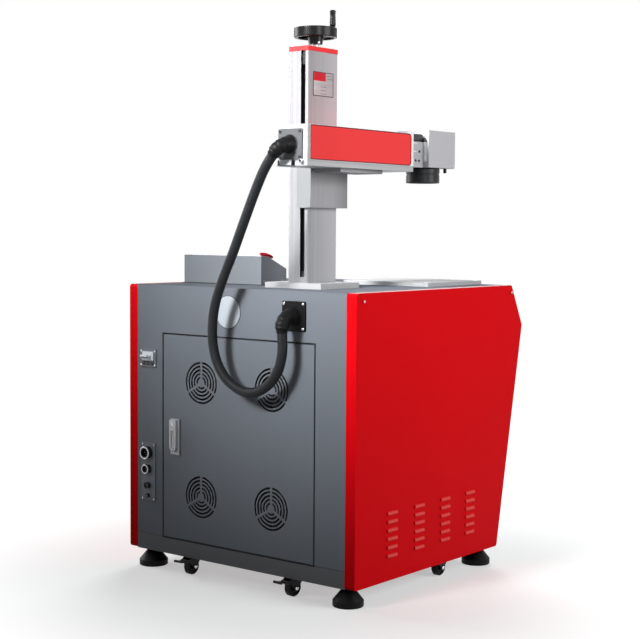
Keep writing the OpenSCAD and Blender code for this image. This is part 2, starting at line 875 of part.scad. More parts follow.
module caster_wheel(i) {
    r = caster_d / 2;
    bore_r = axle_d / 2 + run_gap;
    color("black") caster_at(i) translate([caster_trail, caster_w / 2, axle_z]) rotate([90, 0, 0])
        difference() {
            rotate_extrude()
                polygon([[bore_r, 0], [r - fork_t, 0], [r, fork_t], [r, caster_w - fork_t],
                         [r - fork_t, caster_w], [bore_r, caster_w]]);
            for (z = [-eps, caster_w - fork_t])
                translate([0, 0, z]) difference() {
                    cylinder(h = fork_t + eps, r = r * 3 / 4);
                    translate([0, 0, -eps]) cylinder(h = fork_t + 3 * eps, r = axle_d);
                }
        }
}

module brake_pedal(i) {
    // A pin through the cheeks, a tread outside and a brake shoe towards the wheel
    half = fork_w / 2 - fork_t - move_gap;
    root = (pedal_pin_d + pedal_boss_d) / 4;
    to_wheel = atan2(pedal_pivot.y, pedal_pivot.x);
    color("black") caster_at(i)
        translate([caster_trail + pedal_pivot.x, 0, axle_z + pedal_pivot.y]) {
            rotate([90, 0, 0]) translate([0, 0, -fork_w / 2]) cylinder(h = fork_w, d = pedal_pin_d);
            rotate([90, 0, 0]) translate([0, 0, -half]) cylinder(h = 2 * half, d = pedal_boss_d);
            rotate([0, -to_wheel - shoe_turn, 0])
                slab([-shoe_reach, -root], [eps - half, half - eps], [-pedal_t / 2, pedal_t / 2]);
            rotate([0, -8, 0]) {
                slab([root, pedal_l], [eps - half, half - eps], [-pedal_t / 2, pedal_t / 2]);
                slab([pedal_l - pedal_t, pedal_l + pedal_t], [-fork_w / 2, fork_w / 2],
                     [-pedal_t, pedal_t]);
            }
        }
}

// Lift column
module column_base() {
    color("silver") difference() {
        slab([post_x - base_plate_w / 2, post_x + base_plate_w / 2],
             [post_y - base_plate_d / 2, post_y + base_plate_d / 2], [deck_z, post_z]);
        for (sx = [-1, 1], sy = [-1, 1])
            translate([post_x + sx * (base_plate_w / 2 - base_plate_t),
                       post_y + sy * (base_plate_d / 2 - base_plate_t), post_z - base_plate_t / 2])
                cylinder(h = base_plate_t, d = base_plate_t);
    }
}

module column_post() {
    color("silver") difference() {
        translate([post_x, post_y, post_z]) linear_extrude(post_h) difference() {
            polygon(rounded([[-post_w / 2, -post_d / 2], [post_w / 2, -post_d / 2],
                             [post_w / 2, post_d / 2], [-post_w / 2, post_d / 2]], post_wall / 2));
            square([post_w - 2 * post_wall, post_d - 2 * post_wall], center = true);
        }
        slab([slot_x, slot_x + slot_w], [post_y - post_d, post_y + post_d],
             [post_z + base_plate_t, post_top + eps]);
    }
}

module column_cap() {
    color("red") difference() {
        translate([post_x, post_y, post_top]) linear_extrude(cap_t)
            polygon(rounded([[-post_w / 2 - cap_lip, -post_d / 2 - cap_lip],
                             [post_w / 2 + cap_lip, -post_d / 2 - cap_lip],
                             [post_w / 2 + cap_lip, post_d / 2 + cap_lip],
                             [-post_w / 2 - cap_lip, post_d / 2 + cap_lip]], post_wall / 2));
        translate([post_x, screw_y, post_top - eps])
            cylinder(h = cap_t + 2 * eps, d = screw_d + 4 * move_gap);
    }
}

module column_guide() {
    half_w = post_w / 2 - post_wall;
    half_d = post_d / 2 - post_wall;
    rod_z = post_z + block_low_h;
    top_z = post_top - block_top_h;
    color("lightgray") translate([post_x, post_y, 0]) {
        difference() {
            union() {
                slab([-half_w, half_w], [-half_d, half_d], [post_z, rod_z]);
                slab([-half_w, half_w], [-half_d, half_d], [top_z, post_top]);
            }
            translate([0, -screw_front, post_z + screw_foot])
                cylinder(h = post_h, d = screw_d + 2 * run_gap);
        }
        for (s = [-1, 1])
            translate([0, s * rod_pitch / 2, rod_z]) cylinder(h = top_z - rod_z, d = rod_d);
    }
}

module lead_screw() {
    low = post_z + screw_foot + move_gap;
    high = post_top + cap_t + hub_raise + hub_h;
    color("lightgray") translate([post_x, screw_y, low]) cylinder(h = high - low, d = screw_d);
}

module handwheel() {
    rim_z = wheel_raise;
    r = wheel_d / 2;
    color("black") translate([post_x, screw_y, post_top + cap_t]) difference() {
        union() {
            translate([0, 0, hub_raise]) cylinder(h = hub_h, d1 = hub_foot_d, d2 = hub_d);
            translate([0, 0, rim_z]) rotate_extrude()
                polygon(rounded([[r - rim_w, 0], [r, 0], [r, rim_h], [r - rim_w, rim_h]],
                                rim_w / 4));
            for (a = [0:120:240])
                rotate([0, 0, knob_turn + a])
                    slab([screw_d, r - rim_w / 2], [-spoke_w / 2, spoke_w / 2],
                         [rim_z + spoke_t / 2, rim_z + spoke_t * 3 / 2]);
            rotate([0, 0, knob_turn]) translate([knob_reach, 0, rim_z + spoke_t / 2]) {
                cylinder(h = rim_h - spoke_t / 2 + knob_boss_h, d = knob_d);
                cylinder(h = rim_h + knob_boss_h + knob_l * 3 / 4, d = knob_pin_d);
            }
        }
        translate([0, 0, hub_raise - eps])
            cylinder(h = hub_h + 2 * eps, d = screw_d + 2 * run_gap);
    }
}

module crank_knob() {
    rim_top = post_top + cap_t + wheel_raise + rim_h;
    color("black") translate([post_x, screw_y, rim_top + knob_boss_h])
        rotate([0, 0, knob_turn]) translate([knob_reach, 0, move_gap]) difference() {
            rotate_extrude() polygon([[0, 0], [knob_d * 3 / 8, 0], [knob_d / 2, knob_d / 4],
                                      [knob_d * 7 / 16, knob_l * 2 / 3],
                                      [knob_d / 2, knob_l - knob_d / 8],
                                      [knob_d * 3 / 8, knob_l], [0, knob_l]]);
            translate([0, 0, -eps]) cylinder(h = knob_l - knob_d / 4, d = knob_pin_d + 2 * run_gap);
        }
}

// Carriage
module carriage_bracket() {
    web_x = arm_x + arm_w / 2;
    low = arm_z - bracket_drop;
    rear = post_y + post_d / 2 + tongue_gap;
    front = post_y - post_d / 2 - tongue_gap;
    reach = post_x - post_w / 2 + flange_reach;
    color("silver") {
        slab([web_x, web_x + bracket_t], [front - front_flange_t, rear + rear_flange_t],
             [low, low + bracket_h]);
        slab([web_x, reach], [rear, rear + rear_flange_t], [low, low + bracket_h]);
        slab([web_x, reach], [front - front_flange_t, front], [low, low + bracket_h]);
        slab([slot_x + tongue_gap, slot_x + slot_w - tongue_gap], [post_y + nut_d / 2, rear],
             [low, low + bracket_h]);
        slab([slot_x + tongue_gap, slot_x + slot_w - tongue_gap], [front, post_y - nut_d / 2],
             [low, low + bracket_h]);
        slab([web_x - shelf_w, web_x], [front - front_flange_t - shelf_front, rear],
             [arm_z - shelf_t, arm_z]);
    }
}

module lift_nut() {
    low = arm_z - nut_h / 2;
    color("goldenrod") translate([post_x, post_y, low]) difference() {
        slab([-nut_w / 2, nut_w / 2], [-nut_d / 2, nut_d / 2], [0, nut_h]);
        translate([0, -screw_front, -eps])
            cylinder(h = nut_h + 2 * eps, d = screw_d + 2 * run_gap);
        for (s = [-1, 1])
            translate([0, s * rod_pitch / 2, -eps])
                cylinder(h = nut_h + 2 * eps, d = rod_d + 2 * run_gap);
    }
}

// Laser arm: channel with end plates, beam tube, coupling block and flange
module arm_frame() {
    half = arm_w / 2;
    color("silver") translate([arm_x, 0, arm_z]) {
        slab([-half, half], [arm_front, arm_rear], [0, channel_floor]);
        for (x = [-half, half - channel_wall])
            slab([x, x + channel_wall], [arm_front, arm_rear], [0, channel_h]);
        slab([-half, half], [arm_rear - end_t, arm_rear], [0, arm_h]);
        translate([0, arm_front + nose_t, 0]) rotate([90, 0, 0]) linear_extrude(nose_t)
            polygon(concat([[-half, 0], [half, 0]],
                           corner_arc([half, 0], [half, arm_h], [-half, arm_h], nose_r),
                           corner_arc([half, arm_h], [-half, arm_h], [-half, 0], nose_r)));
        translate([0, arm_front + nose_t + tube_l, arm_h / 2]) rotate([90, 0, 0])
            cylinder(h = tube_l, d = tube_d);
        slab([-tube_d / 4, tube_d / 4], [arm_front + nose_t + tube_l / 2,
             arm_front + nose_t + tube_l * 3 / 4], [channel_floor, arm_h / 2]);
        translate([0, 0, block_rise])
            slab([-block_w / 2, block_w / 2],
                 [head_rear + flange_t, arm_front], [0, block_h]);
        translate([0, arm_front, block_rise + block_h]) rotate([90, 0, 0])
            linear_extrude(arm_front - head_rear - flange_t)
                polygon(rounded([[-block_w / 2, 0], [block_w / 2, 0], [block_w / 2, cable_cap_h],
                                 [-block_w / 2, cable_cap_h]], cable_cap_h / 3));
        translate([0, head_rear, channel_h + beam_rise])
            rounded_plate(flange_w, flange_h, nose_r / 2, flange_t);
    }
}

module arm_cover() {
    half = arm_w / 2;
    color("red") translate([arm_x, arm_rear - end_t, arm_z]) rotate([90, 0, 0])
        linear_extrude(arm_l - end_t - nose_t) difference() {
            translate([-half, channel_h]) square([arm_w, arm_h - channel_h]);
            translate([cover_t - half, channel_h - eps])
                square([arm_w - 2 * cover_t, arm_h - channel_h - cover_t + eps]);
        }
}

// A cable gland: square plate, boss and elbow, its outlet turned by angle
module elbow_gland(boss_l, elbow_r, turn) {
    rounded_plate(gland_plate_w, gland_plate_w, gland_plate_t, gland_plate_t);
    translate([0, gland_plate_t, 0]) rotate([-90, 0, 0]) cylinder(h = boss_l, d = boss_d);
    rotate([0, turn, 0]) translate([elbow_r, gland_plate_t + boss_l, 0])
        rotate([0, 0, 180]) rotate([180, 0, 0]) rotate_extrude(angle = 90)
            translate([elbow_r, 0]) circle(d = elbow_d);
}

module lower_gland() {
    color("black") translate([gland_x, rear_y, body_lift + gland_rise])
        elbow_gland(lower_boss_l, lower_elbow_r, 90);
}

module upper_gland() {
    color("black") translate([arm_x, arm_rear, arm_z + upper_gland_rise])
        elbow_gland(upper_boss_l, upper_elbow_r, upper_outlet_turn);
}

// Scan head: hollow housing, two mirror motors, beam port and lens port
module scan_head() {
    half = head_w / 2;
    motor_x_h = head_h - head_wall - beam_rise - mirror_size.z / 2 - mirror_shaft_l / 2;
    motor_y_l = head_d / 2 + lens_back - head_wall - mirror_size.x / 2 - mirror_shaft_l / 2;
    color("lightgray") {
        difference() {
            slab([lens_x - half, lens_x + half], [head_rear - head_d, head_rear],
                 [head_z, head_z + head_h]);
            slab([lens_x - half + head_wall, lens_x + half - head_wall],
                 [head_rear - head_d + head_wall, head_rear - head_wall],
                 [head_z + head_wall, head_z + head_h - head_wall]);
            translate([lens_x, lens_y, head_z - eps])
                cylinder(h = head_wall + 2 * eps, d = port_d);
            translate([lens_x - mirror_pitch, head_rear + eps, head_z + beam_rise])
                rotate([90, 0, 0]) cylinder(h = head_wall + 2 * eps, d = port_d / 3);
        }
        translate([lens_x - mirror_pitch, lens_y, head_z + head_h - head_wall - motor_x_h])
            difference() {
                cylinder(h = motor_x_h, d = motor_d);
                translate([0, 0, -eps])
                    cylinder(h = mirror_shaft_l, d = mirror_shaft_d + 2 * run_gap);
            }
        translate([lens_x, head_rear - head_d + head_wall, head_z + beam_rise])
            rotate([-90, 0, 0]) difference() {
                cylinder(h = motor_y_l, d = motor_d);
                translate([0, 0, motor_y_l - mirror_shaft_l + eps])
                    cylinder(h = mirror_shaft_l, d = mirror_shaft_d + 2 * run_gap);
            }
        translate([lens_x - half + pointer_l, head_rear - head_d + pointer_setback,
                   head_z - pointer_l])
            cylinder(h = pointer_l, d = pointer_d);
    }
}

module scan_mirror_x() {
    color("gold") translate([lens_x - mirror_pitch, lens_y, head_z + beam_rise]) {
        rotate([0, 0, 45])
            slab([-mirror_size.x / 2, mirror_size.x / 2], [-mirror_size.y / 2, mirror_size.y / 2],
                 [-mirror_size.z / 2, mirror_size.z / 2]);
        cylinder(h = mirror_size.z / 2 + mirror_shaft_l, d = mirror_shaft_d);
    }
}

module scan_mirror_y() {
    color("gold") translate([lens_x, lens_y, head_z + beam_rise]) rotate([90, 0, 0]) {
        rotate([0, 0, -45])
            slab([-mirror_size.z / 2, mirror_size.z / 2], [-mirror_size.y / 2, mirror_size.y / 2],
                 [-mirror_size.x / 2, mirror_size.x / 2]);
        cylinder(h = mirror_size.x / 2 + mirror_shaft_l, d = mirror_shaft_d);
    }
}

module lens_barrel() {
    r = lens_d / 2;
    bore = r - barrel_wall;
    color("black") translate([lens_x, lens_y, head_z - lens_h]) rotate_extrude()
        polygon(concat([[bore, 0]], [for (p = lens_shares) [r * p.x, lens_h * p.y]],
                       [[port_d / 2, lens_h], [port_d / 2, lens_h * lens_throat_shares[1]],
                        [bore, lens_h * lens_throat_shares[0]]]));
}

module lens_glass() {
    r = lens_d / 2 - barrel_wall - run_gap;
    color("lightblue") translate([lens_x, lens_y, head_z - lens_h + glass_t / 2])
        rotate_extrude() polygon(concat([[0, 0], [r, 0], [r, glass_t / 2]],
            [for (k = [1:arc_steps]) [r * (1 - k / arc_steps),
                                      glass_t / 2 * (1 + sin(90 * k / arc_steps))]]));
}

// Work table
module work_table() {
    y1 = rear_y - table_setback;
    color("gainsboro") difference() {
        slab([table_x - table_w / 2, table_x + table_w / 2], [y1 - table_d, y1],
             [deck_z, deck_z + table_t]);
        for (sx = [-1, 1], sy = [-1, 1])
            translate([table_x + sx * table_hole_pitch / 2,
                       y1 - table_d / 2 + sy * table_hole_pitch / 2, deck_z - eps])
                cylinder(h = table_t + 2 * eps, d = table_hole_d);
    }
}

// Console: sloping shell with collars for its controls
module console_profile(d) {
    polygon(inset([[0, 0], [console_d, 0], [console_d, console_front_h], [console_flat, console_h],
                   [0, console_h]], d));
}

// Each control: place across, place down the slope, shaft diameter
function control_places() =
    [[estop_place.x, estop_place.y, estop_stem_d], [start_place.x, start_place.y, start_d],
     [key_place.x, key_place.y, key_d]];

module console_housing() {
    y = rear_y - console_rear_setback;
    x0 = console_x - console_w / 2;
    color("slategray") {
        difference() {
            translate([x0 + console_w, y, deck_z]) rotate([90, 0, -90])
                linear_extrude(console_w) console_profile(0);
            translate([x0 + console_w - sheet_t, y, deck_z]) rotate([90, 0, -90])
                linear_extrude(console_w - 2 * sheet_t) console_profile(sheet_t);
            slab([x0 + sheet_t * 3, x0 + console_w - sheet_t * 3],
                 [y - console_d + sheet_t * 3, y - sheet_t * 3], [deck_z - eps, deck_z + 2 * sheet_t]);
            on_console() for (c = control_places())
                translate([c.x, c.y, -2 * sheet_t]) cylinder(h = 4 * sheet_t, d = c.z + 2 * run_gap);
        }
        on_console() for (c = control_places())
            translate([c.x, c.y, -sheet_t / 2]) difference() {
                cylinder(h = collar_h + sheet_t / 2, d = c.z + 2 * run_gap + 2 * collar_wall);
                translate([0, 0, -eps]) cylinder(h = collar_h + sheet_t, d = c.z + 2 * run_gap);
            }
    }
}

module estop_button() {
    color("red") on_console() translate([estop_place.x, estop_place.y, 0]) {
        translate([0, 0, -estop_h]) cylinder(h = estop_h + collar_h + estop_lift, d = estop_stem_d);
        translate([0, 0, collar_h + estop_lift]) rotate_extrude()
            polygon(concat([[0, 0], [estop_d * 3 / 8, 0], [estop_d / 2, estop_h / 4]],
                [for (k = [1:arc_steps]) [estop_d / 2 * cos(90 * k / arc_steps),
                                          estop_h / 4 + estop_h / 2 * sin(90 * k / arc_steps)]]));
    }
}

module start_button() {
    color("green") on_console() translate([start_place.x, start_place.y, -estop_h])
        cylinder(h = estop_h + collar_h + start_d / 4, d = start_d);
}

module key_switch() {
    color("silver") on_console() translate([key_place.x, key_place.y, -estop_h]) {
        cylinder(h = estop_h + collar_h + sheet_t, d = key_d);
        translate([-sheet_t / 2, -key_d / 2, estop_h + collar_h + sheet_t])
            cube([sheet_t, key_d, key_d]);
    }
}

// Rear fittings
module connector_panel() {
    color("darkslategray") on_rear() translate([panel_x, 0, connector_mid]) {
        rounded_plate(connector_plate.x, connector_plate.y, fitting_t, fitting_t);
        for (c = connector_shares * connector_plate.y)
            translate([0, fitting_t, c.x]) rotate([-90, 0, 0]) difference() {
                cylinder(h = c.z, d = c.y);
                translate([0, 0, fitting_t]) cylinder(h = c.z, d = c.y * connector_bore_share);
            }
    }
}

module circuit_breaker() {
    color("white") on_rear() translate([panel_x, 0, breaker_mid]) difference() {
        union() {
            rounded_plate(breaker_plate.x, breaker_plate.y, fitting_t, fitting_t);
            slab([run_gap - breaker_nose.x / 2, breaker_nose.x / 2 - run_gap],
                 [-return_d, fitting_t * 2],
                 [run_gap - breaker_nose.y / 2, breaker_nose.y / 2 - run_gap]);
        }
        translate([-breaker_nose.x / 3, fitting_t * 2 + eps, 0]) rotate([0, 90, 0])
            cylinder(h = breaker_nose.x * 2 / 3, d = breaker_nose.y / 2);
    }
}

module breaker_toggle() {
    wide = breaker_nose.x * 2 / 3 - 2 * move_gap;
    r = breaker_nose.y / 4 - move_gap;
    color("white") on_rear()
        translate([panel_x - wide / 2, fitting_t * 2 + eps, breaker_mid]) {
            rotate([0, 90, 0]) cylinder(h = wide, r = r);
            rotate([25, 0, 0]) slab([eps, wide - eps], [r / 3, r * 2], [-r / 3, r / 3]);
        }
}

// Equipment in the cabinet
module laser_source() {
    z = ring_top + sheet_t;
    y1 = rear_y - source_setback;
    color("dimgray") translate([source_x, y1, z]) {
        slab([-source_size.x / 2, source_size.x / 2], [-source_size.y, 0],
             [0, source_size.z - fin_h]);
        for (x = [-source_size.x / 2:fin_gap:source_size.x / 2 - fin_t])
            slab([x, x + fin_t], [-source_size.y, 0], [source_size.z - fin_h, source_size.z]);
    }
}

module control_unit() {
    z = body_lift + shelf_h + sheet_t;
    y1 = rear_y - unit_setback;
    color("darkgray") translate([unit_x, y1, z]) {
        slab([-unit_size.x / 2, unit_size.x / 2], [-unit_size.y, 0], [0, unit_size.z]);
        slab([-unit_size.x / 2 - fin_gap, unit_size.x / 2 + fin_gap],
             [-unit_size.y - fin_t, -unit_size.y], [0, unit_size.z]);
    }
}

// Hose: a twelve-sided tube swept along its route, square to each point's direction
function hose_way(i) =
    unit(hose_route[min(i + 1, len(hose_route) - 1)] - hose_route[max(i - 1, 0)]);
function hose_ends(i) =
    i == 0 ? hose_out :
    i == len(hose_route) - 1 ? [0, 0, 1] : hose_way(i);
function hose_ring(i) =
    let (w = hose_ends(i), u = unit(cross(w, [0, 1, 0])), v = cross(w, u))
    [for (k = [0:hose_sides - 1])
        hose_route[i] + hose_d / 2 * (u * cos(360 * k / hose_sides) + v * sin(360 * k / hose_sides))];

module laser_hose() {
    n = hose_sides;
    m = len(hose_route);
    color("black") polyhedron(
        points = [for (i = [0:m - 1]) each hose_ring(i)],
        faces = concat(
            [[for (k = [0:n - 1]) k]],
            [for (i = [0:m - 2], k = [0:n - 1])
                [i * n + k, (i + 1) * n + k, (i + 1) * n + (k + 1) % n, i * n + (k + 1) % n]],
            [[for (k = [n - 1:-1:0]) (m - 1) * n + k]]));
}

main_frame();
side_panel(-1);  // left_side_panel
side_panel(1);  // right_side_panel
rear_panel();
top_deck();
front_panel();
laser_source();
control_unit();
lower_gland();
connector_panel();
circuit_breaker();
work_table();
console_housing();
column_base();
column_post();
column_cap();
column_guide();
laser_hose();
rear_door();
fan_frames();
fan_rotor(0);  // fan_rotor_1
fan_rotor(1);  // fan_rotor_2
fan_rotor(2);  // fan_rotor_3
fan_rotor(3);  // fan_rotor_4
rear_handle();
front_door();
front_handle();
foot(0);  // foot_1
foot(1);  // foot_2
foot(2);  // foot_3
foot(3);  // foot_4
caster_fork(0);  // caster_fork_1
caster_fork(1);  // caster_fork_2
caster_fork(2);  // caster_fork_3
caster_fork(3);  // caster_fork_4
caster_wheel(0);  // caster_wheel_1
caster_wheel(1);  // caster_wheel_2
caster_wheel(2);  // caster_wheel_3
caster_wheel(3);  // caster_wheel_4
brake_pedal(0);  // brake_pedal_1
brake_pedal(1);  // brake_pedal_2
brake_pedal(2);  // brake_pedal_3
brake_pedal(3);  // brake_pedal_4
estop_button();
start_button();
key_switch();
breaker_toggle();
lead_screw();
handwheel();
crank_knob();
carriage_bracket();
lift_nut();
arm_frame();
arm_cover();
upper_gland();
scan_head();
scan_mirror_x();
scan_mirror_y();
lens_barrel();
lens_glass();
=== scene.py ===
from math import atan2, cos, pi, radians, sin
import bmesh
import bpy
from mathutils import Matrix, Vector


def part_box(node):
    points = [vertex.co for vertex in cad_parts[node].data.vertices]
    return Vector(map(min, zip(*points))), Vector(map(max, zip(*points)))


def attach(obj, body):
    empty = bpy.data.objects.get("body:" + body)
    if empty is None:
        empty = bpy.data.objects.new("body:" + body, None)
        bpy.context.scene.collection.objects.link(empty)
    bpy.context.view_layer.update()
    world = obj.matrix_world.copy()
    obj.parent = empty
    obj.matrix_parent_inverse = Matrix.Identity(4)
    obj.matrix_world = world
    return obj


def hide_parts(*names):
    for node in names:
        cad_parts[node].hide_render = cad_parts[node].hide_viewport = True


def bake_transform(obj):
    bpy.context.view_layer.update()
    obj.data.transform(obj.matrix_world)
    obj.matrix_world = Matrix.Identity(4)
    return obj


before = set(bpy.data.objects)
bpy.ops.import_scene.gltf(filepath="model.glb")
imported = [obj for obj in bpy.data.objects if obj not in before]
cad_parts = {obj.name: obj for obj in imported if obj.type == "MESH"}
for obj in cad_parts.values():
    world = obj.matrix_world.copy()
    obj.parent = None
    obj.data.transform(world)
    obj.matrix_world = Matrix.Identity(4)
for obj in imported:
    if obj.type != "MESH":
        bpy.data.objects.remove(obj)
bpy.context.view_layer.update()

# Laser marking machine: finishes for its solids, its ribbed hose, and the small pieces on them.
# Metres, +Z up, the rear door faces +Y. Small sizes are written in millimetres times MM.
MM = 0.001
UP = Vector((0, 0, 1))
BACKWARDS = Vector((0, 1, 0))
LEFTWARDS = Vector((-1, 0, 0))
WHITE, NO_LIGHT = (1, 1, 1, 1), (0, 0, 0, 1)

# Faces and thicknesses of the solids that the finishes and pieces follow
FRONT_FACE = Vector((0, -625, -122)).normalized()
PANEL_FACE = 397 * MM
WALL_SKIN = 2 * MM
NOSE_T = 6 * MM
CAP_RISE = 69 * MM
HEAD_FLOOR = 1120 * MM
LOCK_PLATE_T = 3 * MM
# The same in plain millimetres, for places given with at()
GLAND_PLATE_T = 4
FITTING_PLATE_T = 3
ARM_END_T = 10
BLOCK_SIDE = -256
FOOT_CONE_H = 44
DOOR_GAP = 2
# Middle of the breaker and the connector plate across and up, and of their plates' screws from there
PANEL_X = 322
BREAKER_Z, BREAKER_SCREWS = 589, (26, 19)
CONNECTOR_Z, CONNECTOR_SCREWS = 272, (22, 76)
BREAKER_TERMINALS_TOP = 582
BREAKER_TERMINALS_X, BREAKER_TERMINALS_Z = (337, 321.5, 306), 575.2
# The round plate beside the lower gland: its middle and radius
ROUND_PLATE_X, ROUND_PLATE_Z, ROUND_PLATE_R = 27, 728, 42.5
# Height, width and length of each round connector, from the top
CONNECTORS = ((325.9, 33.8, 16.1), (280.1, 24.2, 14.0), (234.0, 18.0, 10.0), (205.0, 12.1, 8.1))
# Each gland: its body, middle across and up, boss length, elbow radius, the elbow's way, and screws
GLANDS = {
    "lower_gland": ("cabinet", -200, 728, 16, 30, (0, -1), "chrome"),
    "upper_gland": ("carriage", -214, 1159, 8, 28, (0.681, -0.732), "dark_steel"),
}
GLAND_SCREWS = (31.5, 31.5)
# The console's top: its flat's depth, and the fall and run of the slope in front of it
CONSOLE_FLAT, CONSOLE_FALL, CONSOLE_RUN = 26, 36, 82
# Each control: place across and down the slope, radius of its bore, and its bezel
CONTROLS = {
    "estop_button": (98, 23, 11.2, "estop_bezel", 19, "black_plastic"),
    "start_button": (238, 44.8, 13.2, "start_bezel", 15, "steel"),
    "key_switch": (303, 44.8, 13.7, "key_bezel", 15, "steel"),
}
# The way of each caster's axle, and how far from its wheel's middle the caps sit
CASTER_AXLES = [(-sin(radians(a)), cos(radians(a)), 0) for a in (86, 95, 272, 265)]
AXLE_REACH = 15.4
# The side panels' screws: how far in front of their rear edge, and below their top
SIDE_SCREW_PLACES, SIDE_SCREW_DROP = (25, 724), 21
# The console's side screws: in front of its rear face, and above its foot
CONSOLE_SCREWS = ((12, 12), (88, 12))
# The bare label plate on the column's left side: its middle and size, forwards and up
LABEL_Y, LABEL_Z, LABEL_W, LABEL_H = 166, 1328, 84, 62
# Across and up on the arm's rear plate, and the pointer's place under the head
ARM_SOCKET, ARM_CONNECTOR = (-201, 1113), (-250, 1117)
POINTER_X, POINTER_Y = -256, -243


def at(x, y, z):
    """A place given in millimetres."""
    return Vector((x, y, z)) * MM


def add_object(name, data):
    """A new object in the scene."""
    made = bpy.data.objects.new(name, data)
    bpy.context.scene.collection.objects.link(made)
    return made


# Camera, fitted to the cabinet's corners: focal length in pixels of the photograph's width
PHOTO_W = 640
FOCAL_PIXELS = 1415.93
SENSOR_W = 36.0
CAMERA_PLACE = Vector((-2.48111, 3.10872, 0.95443))
CAMERA_YAW = 38.5546
CAMERA_PITCH = 3.7486
CAMERA_ROLL = 0.3896


def add_camera():
    """The photograph's own view of the machine."""
    yaw, pitch, roll = (radians(a) for a in (CAMERA_YAW, CAMERA_PITCH, CAMERA_ROLL))
    ahead = Vector((sin(yaw) * cos(pitch), -cos(yaw) * cos(pitch), -sin(pitch)))
    level = ahead.cross(UP).normalized()
    top = level.cross(ahead)
    right = level * cos(roll) + top * sin(roll)
    upward = top * cos(roll) - level * sin(roll)
    lens = bpy.data.cameras.new("photo_camera")
    lens.sensor_width = SENSOR_W
    lens.lens = FOCAL_PIXELS * SENSOR_W / PHOTO_W
    camera = add_object("photo_camera", lens)
    turn = Matrix((right, upward, -ahead)).transposed().to_4x4()
    camera.matrix_world = Matrix.Translation(CAMERA_PLACE) @ turn
    bpy.context.scene.camera = camera


# Materials

class Value:
    """A number that changes over a surface; sums and products of it add Math nodes."""

    def __init__(self, finish, socket):
        self.finish = finish
        self.socket = socket

    def __add__(self, other):
        return self.finish.maths("ADD", self, other)

    def __sub__(self, other):
        return self.finish.maths("SUBTRACT", self, other)

    def __rsub__(self, other):
        return self.finish.maths("SUBTRACT", other, self)

    def __mul__(self, other):
        return self.finish.maths("MULTIPLY", self, other)

    __radd__ = __add__
    __rmul__ = __mul__


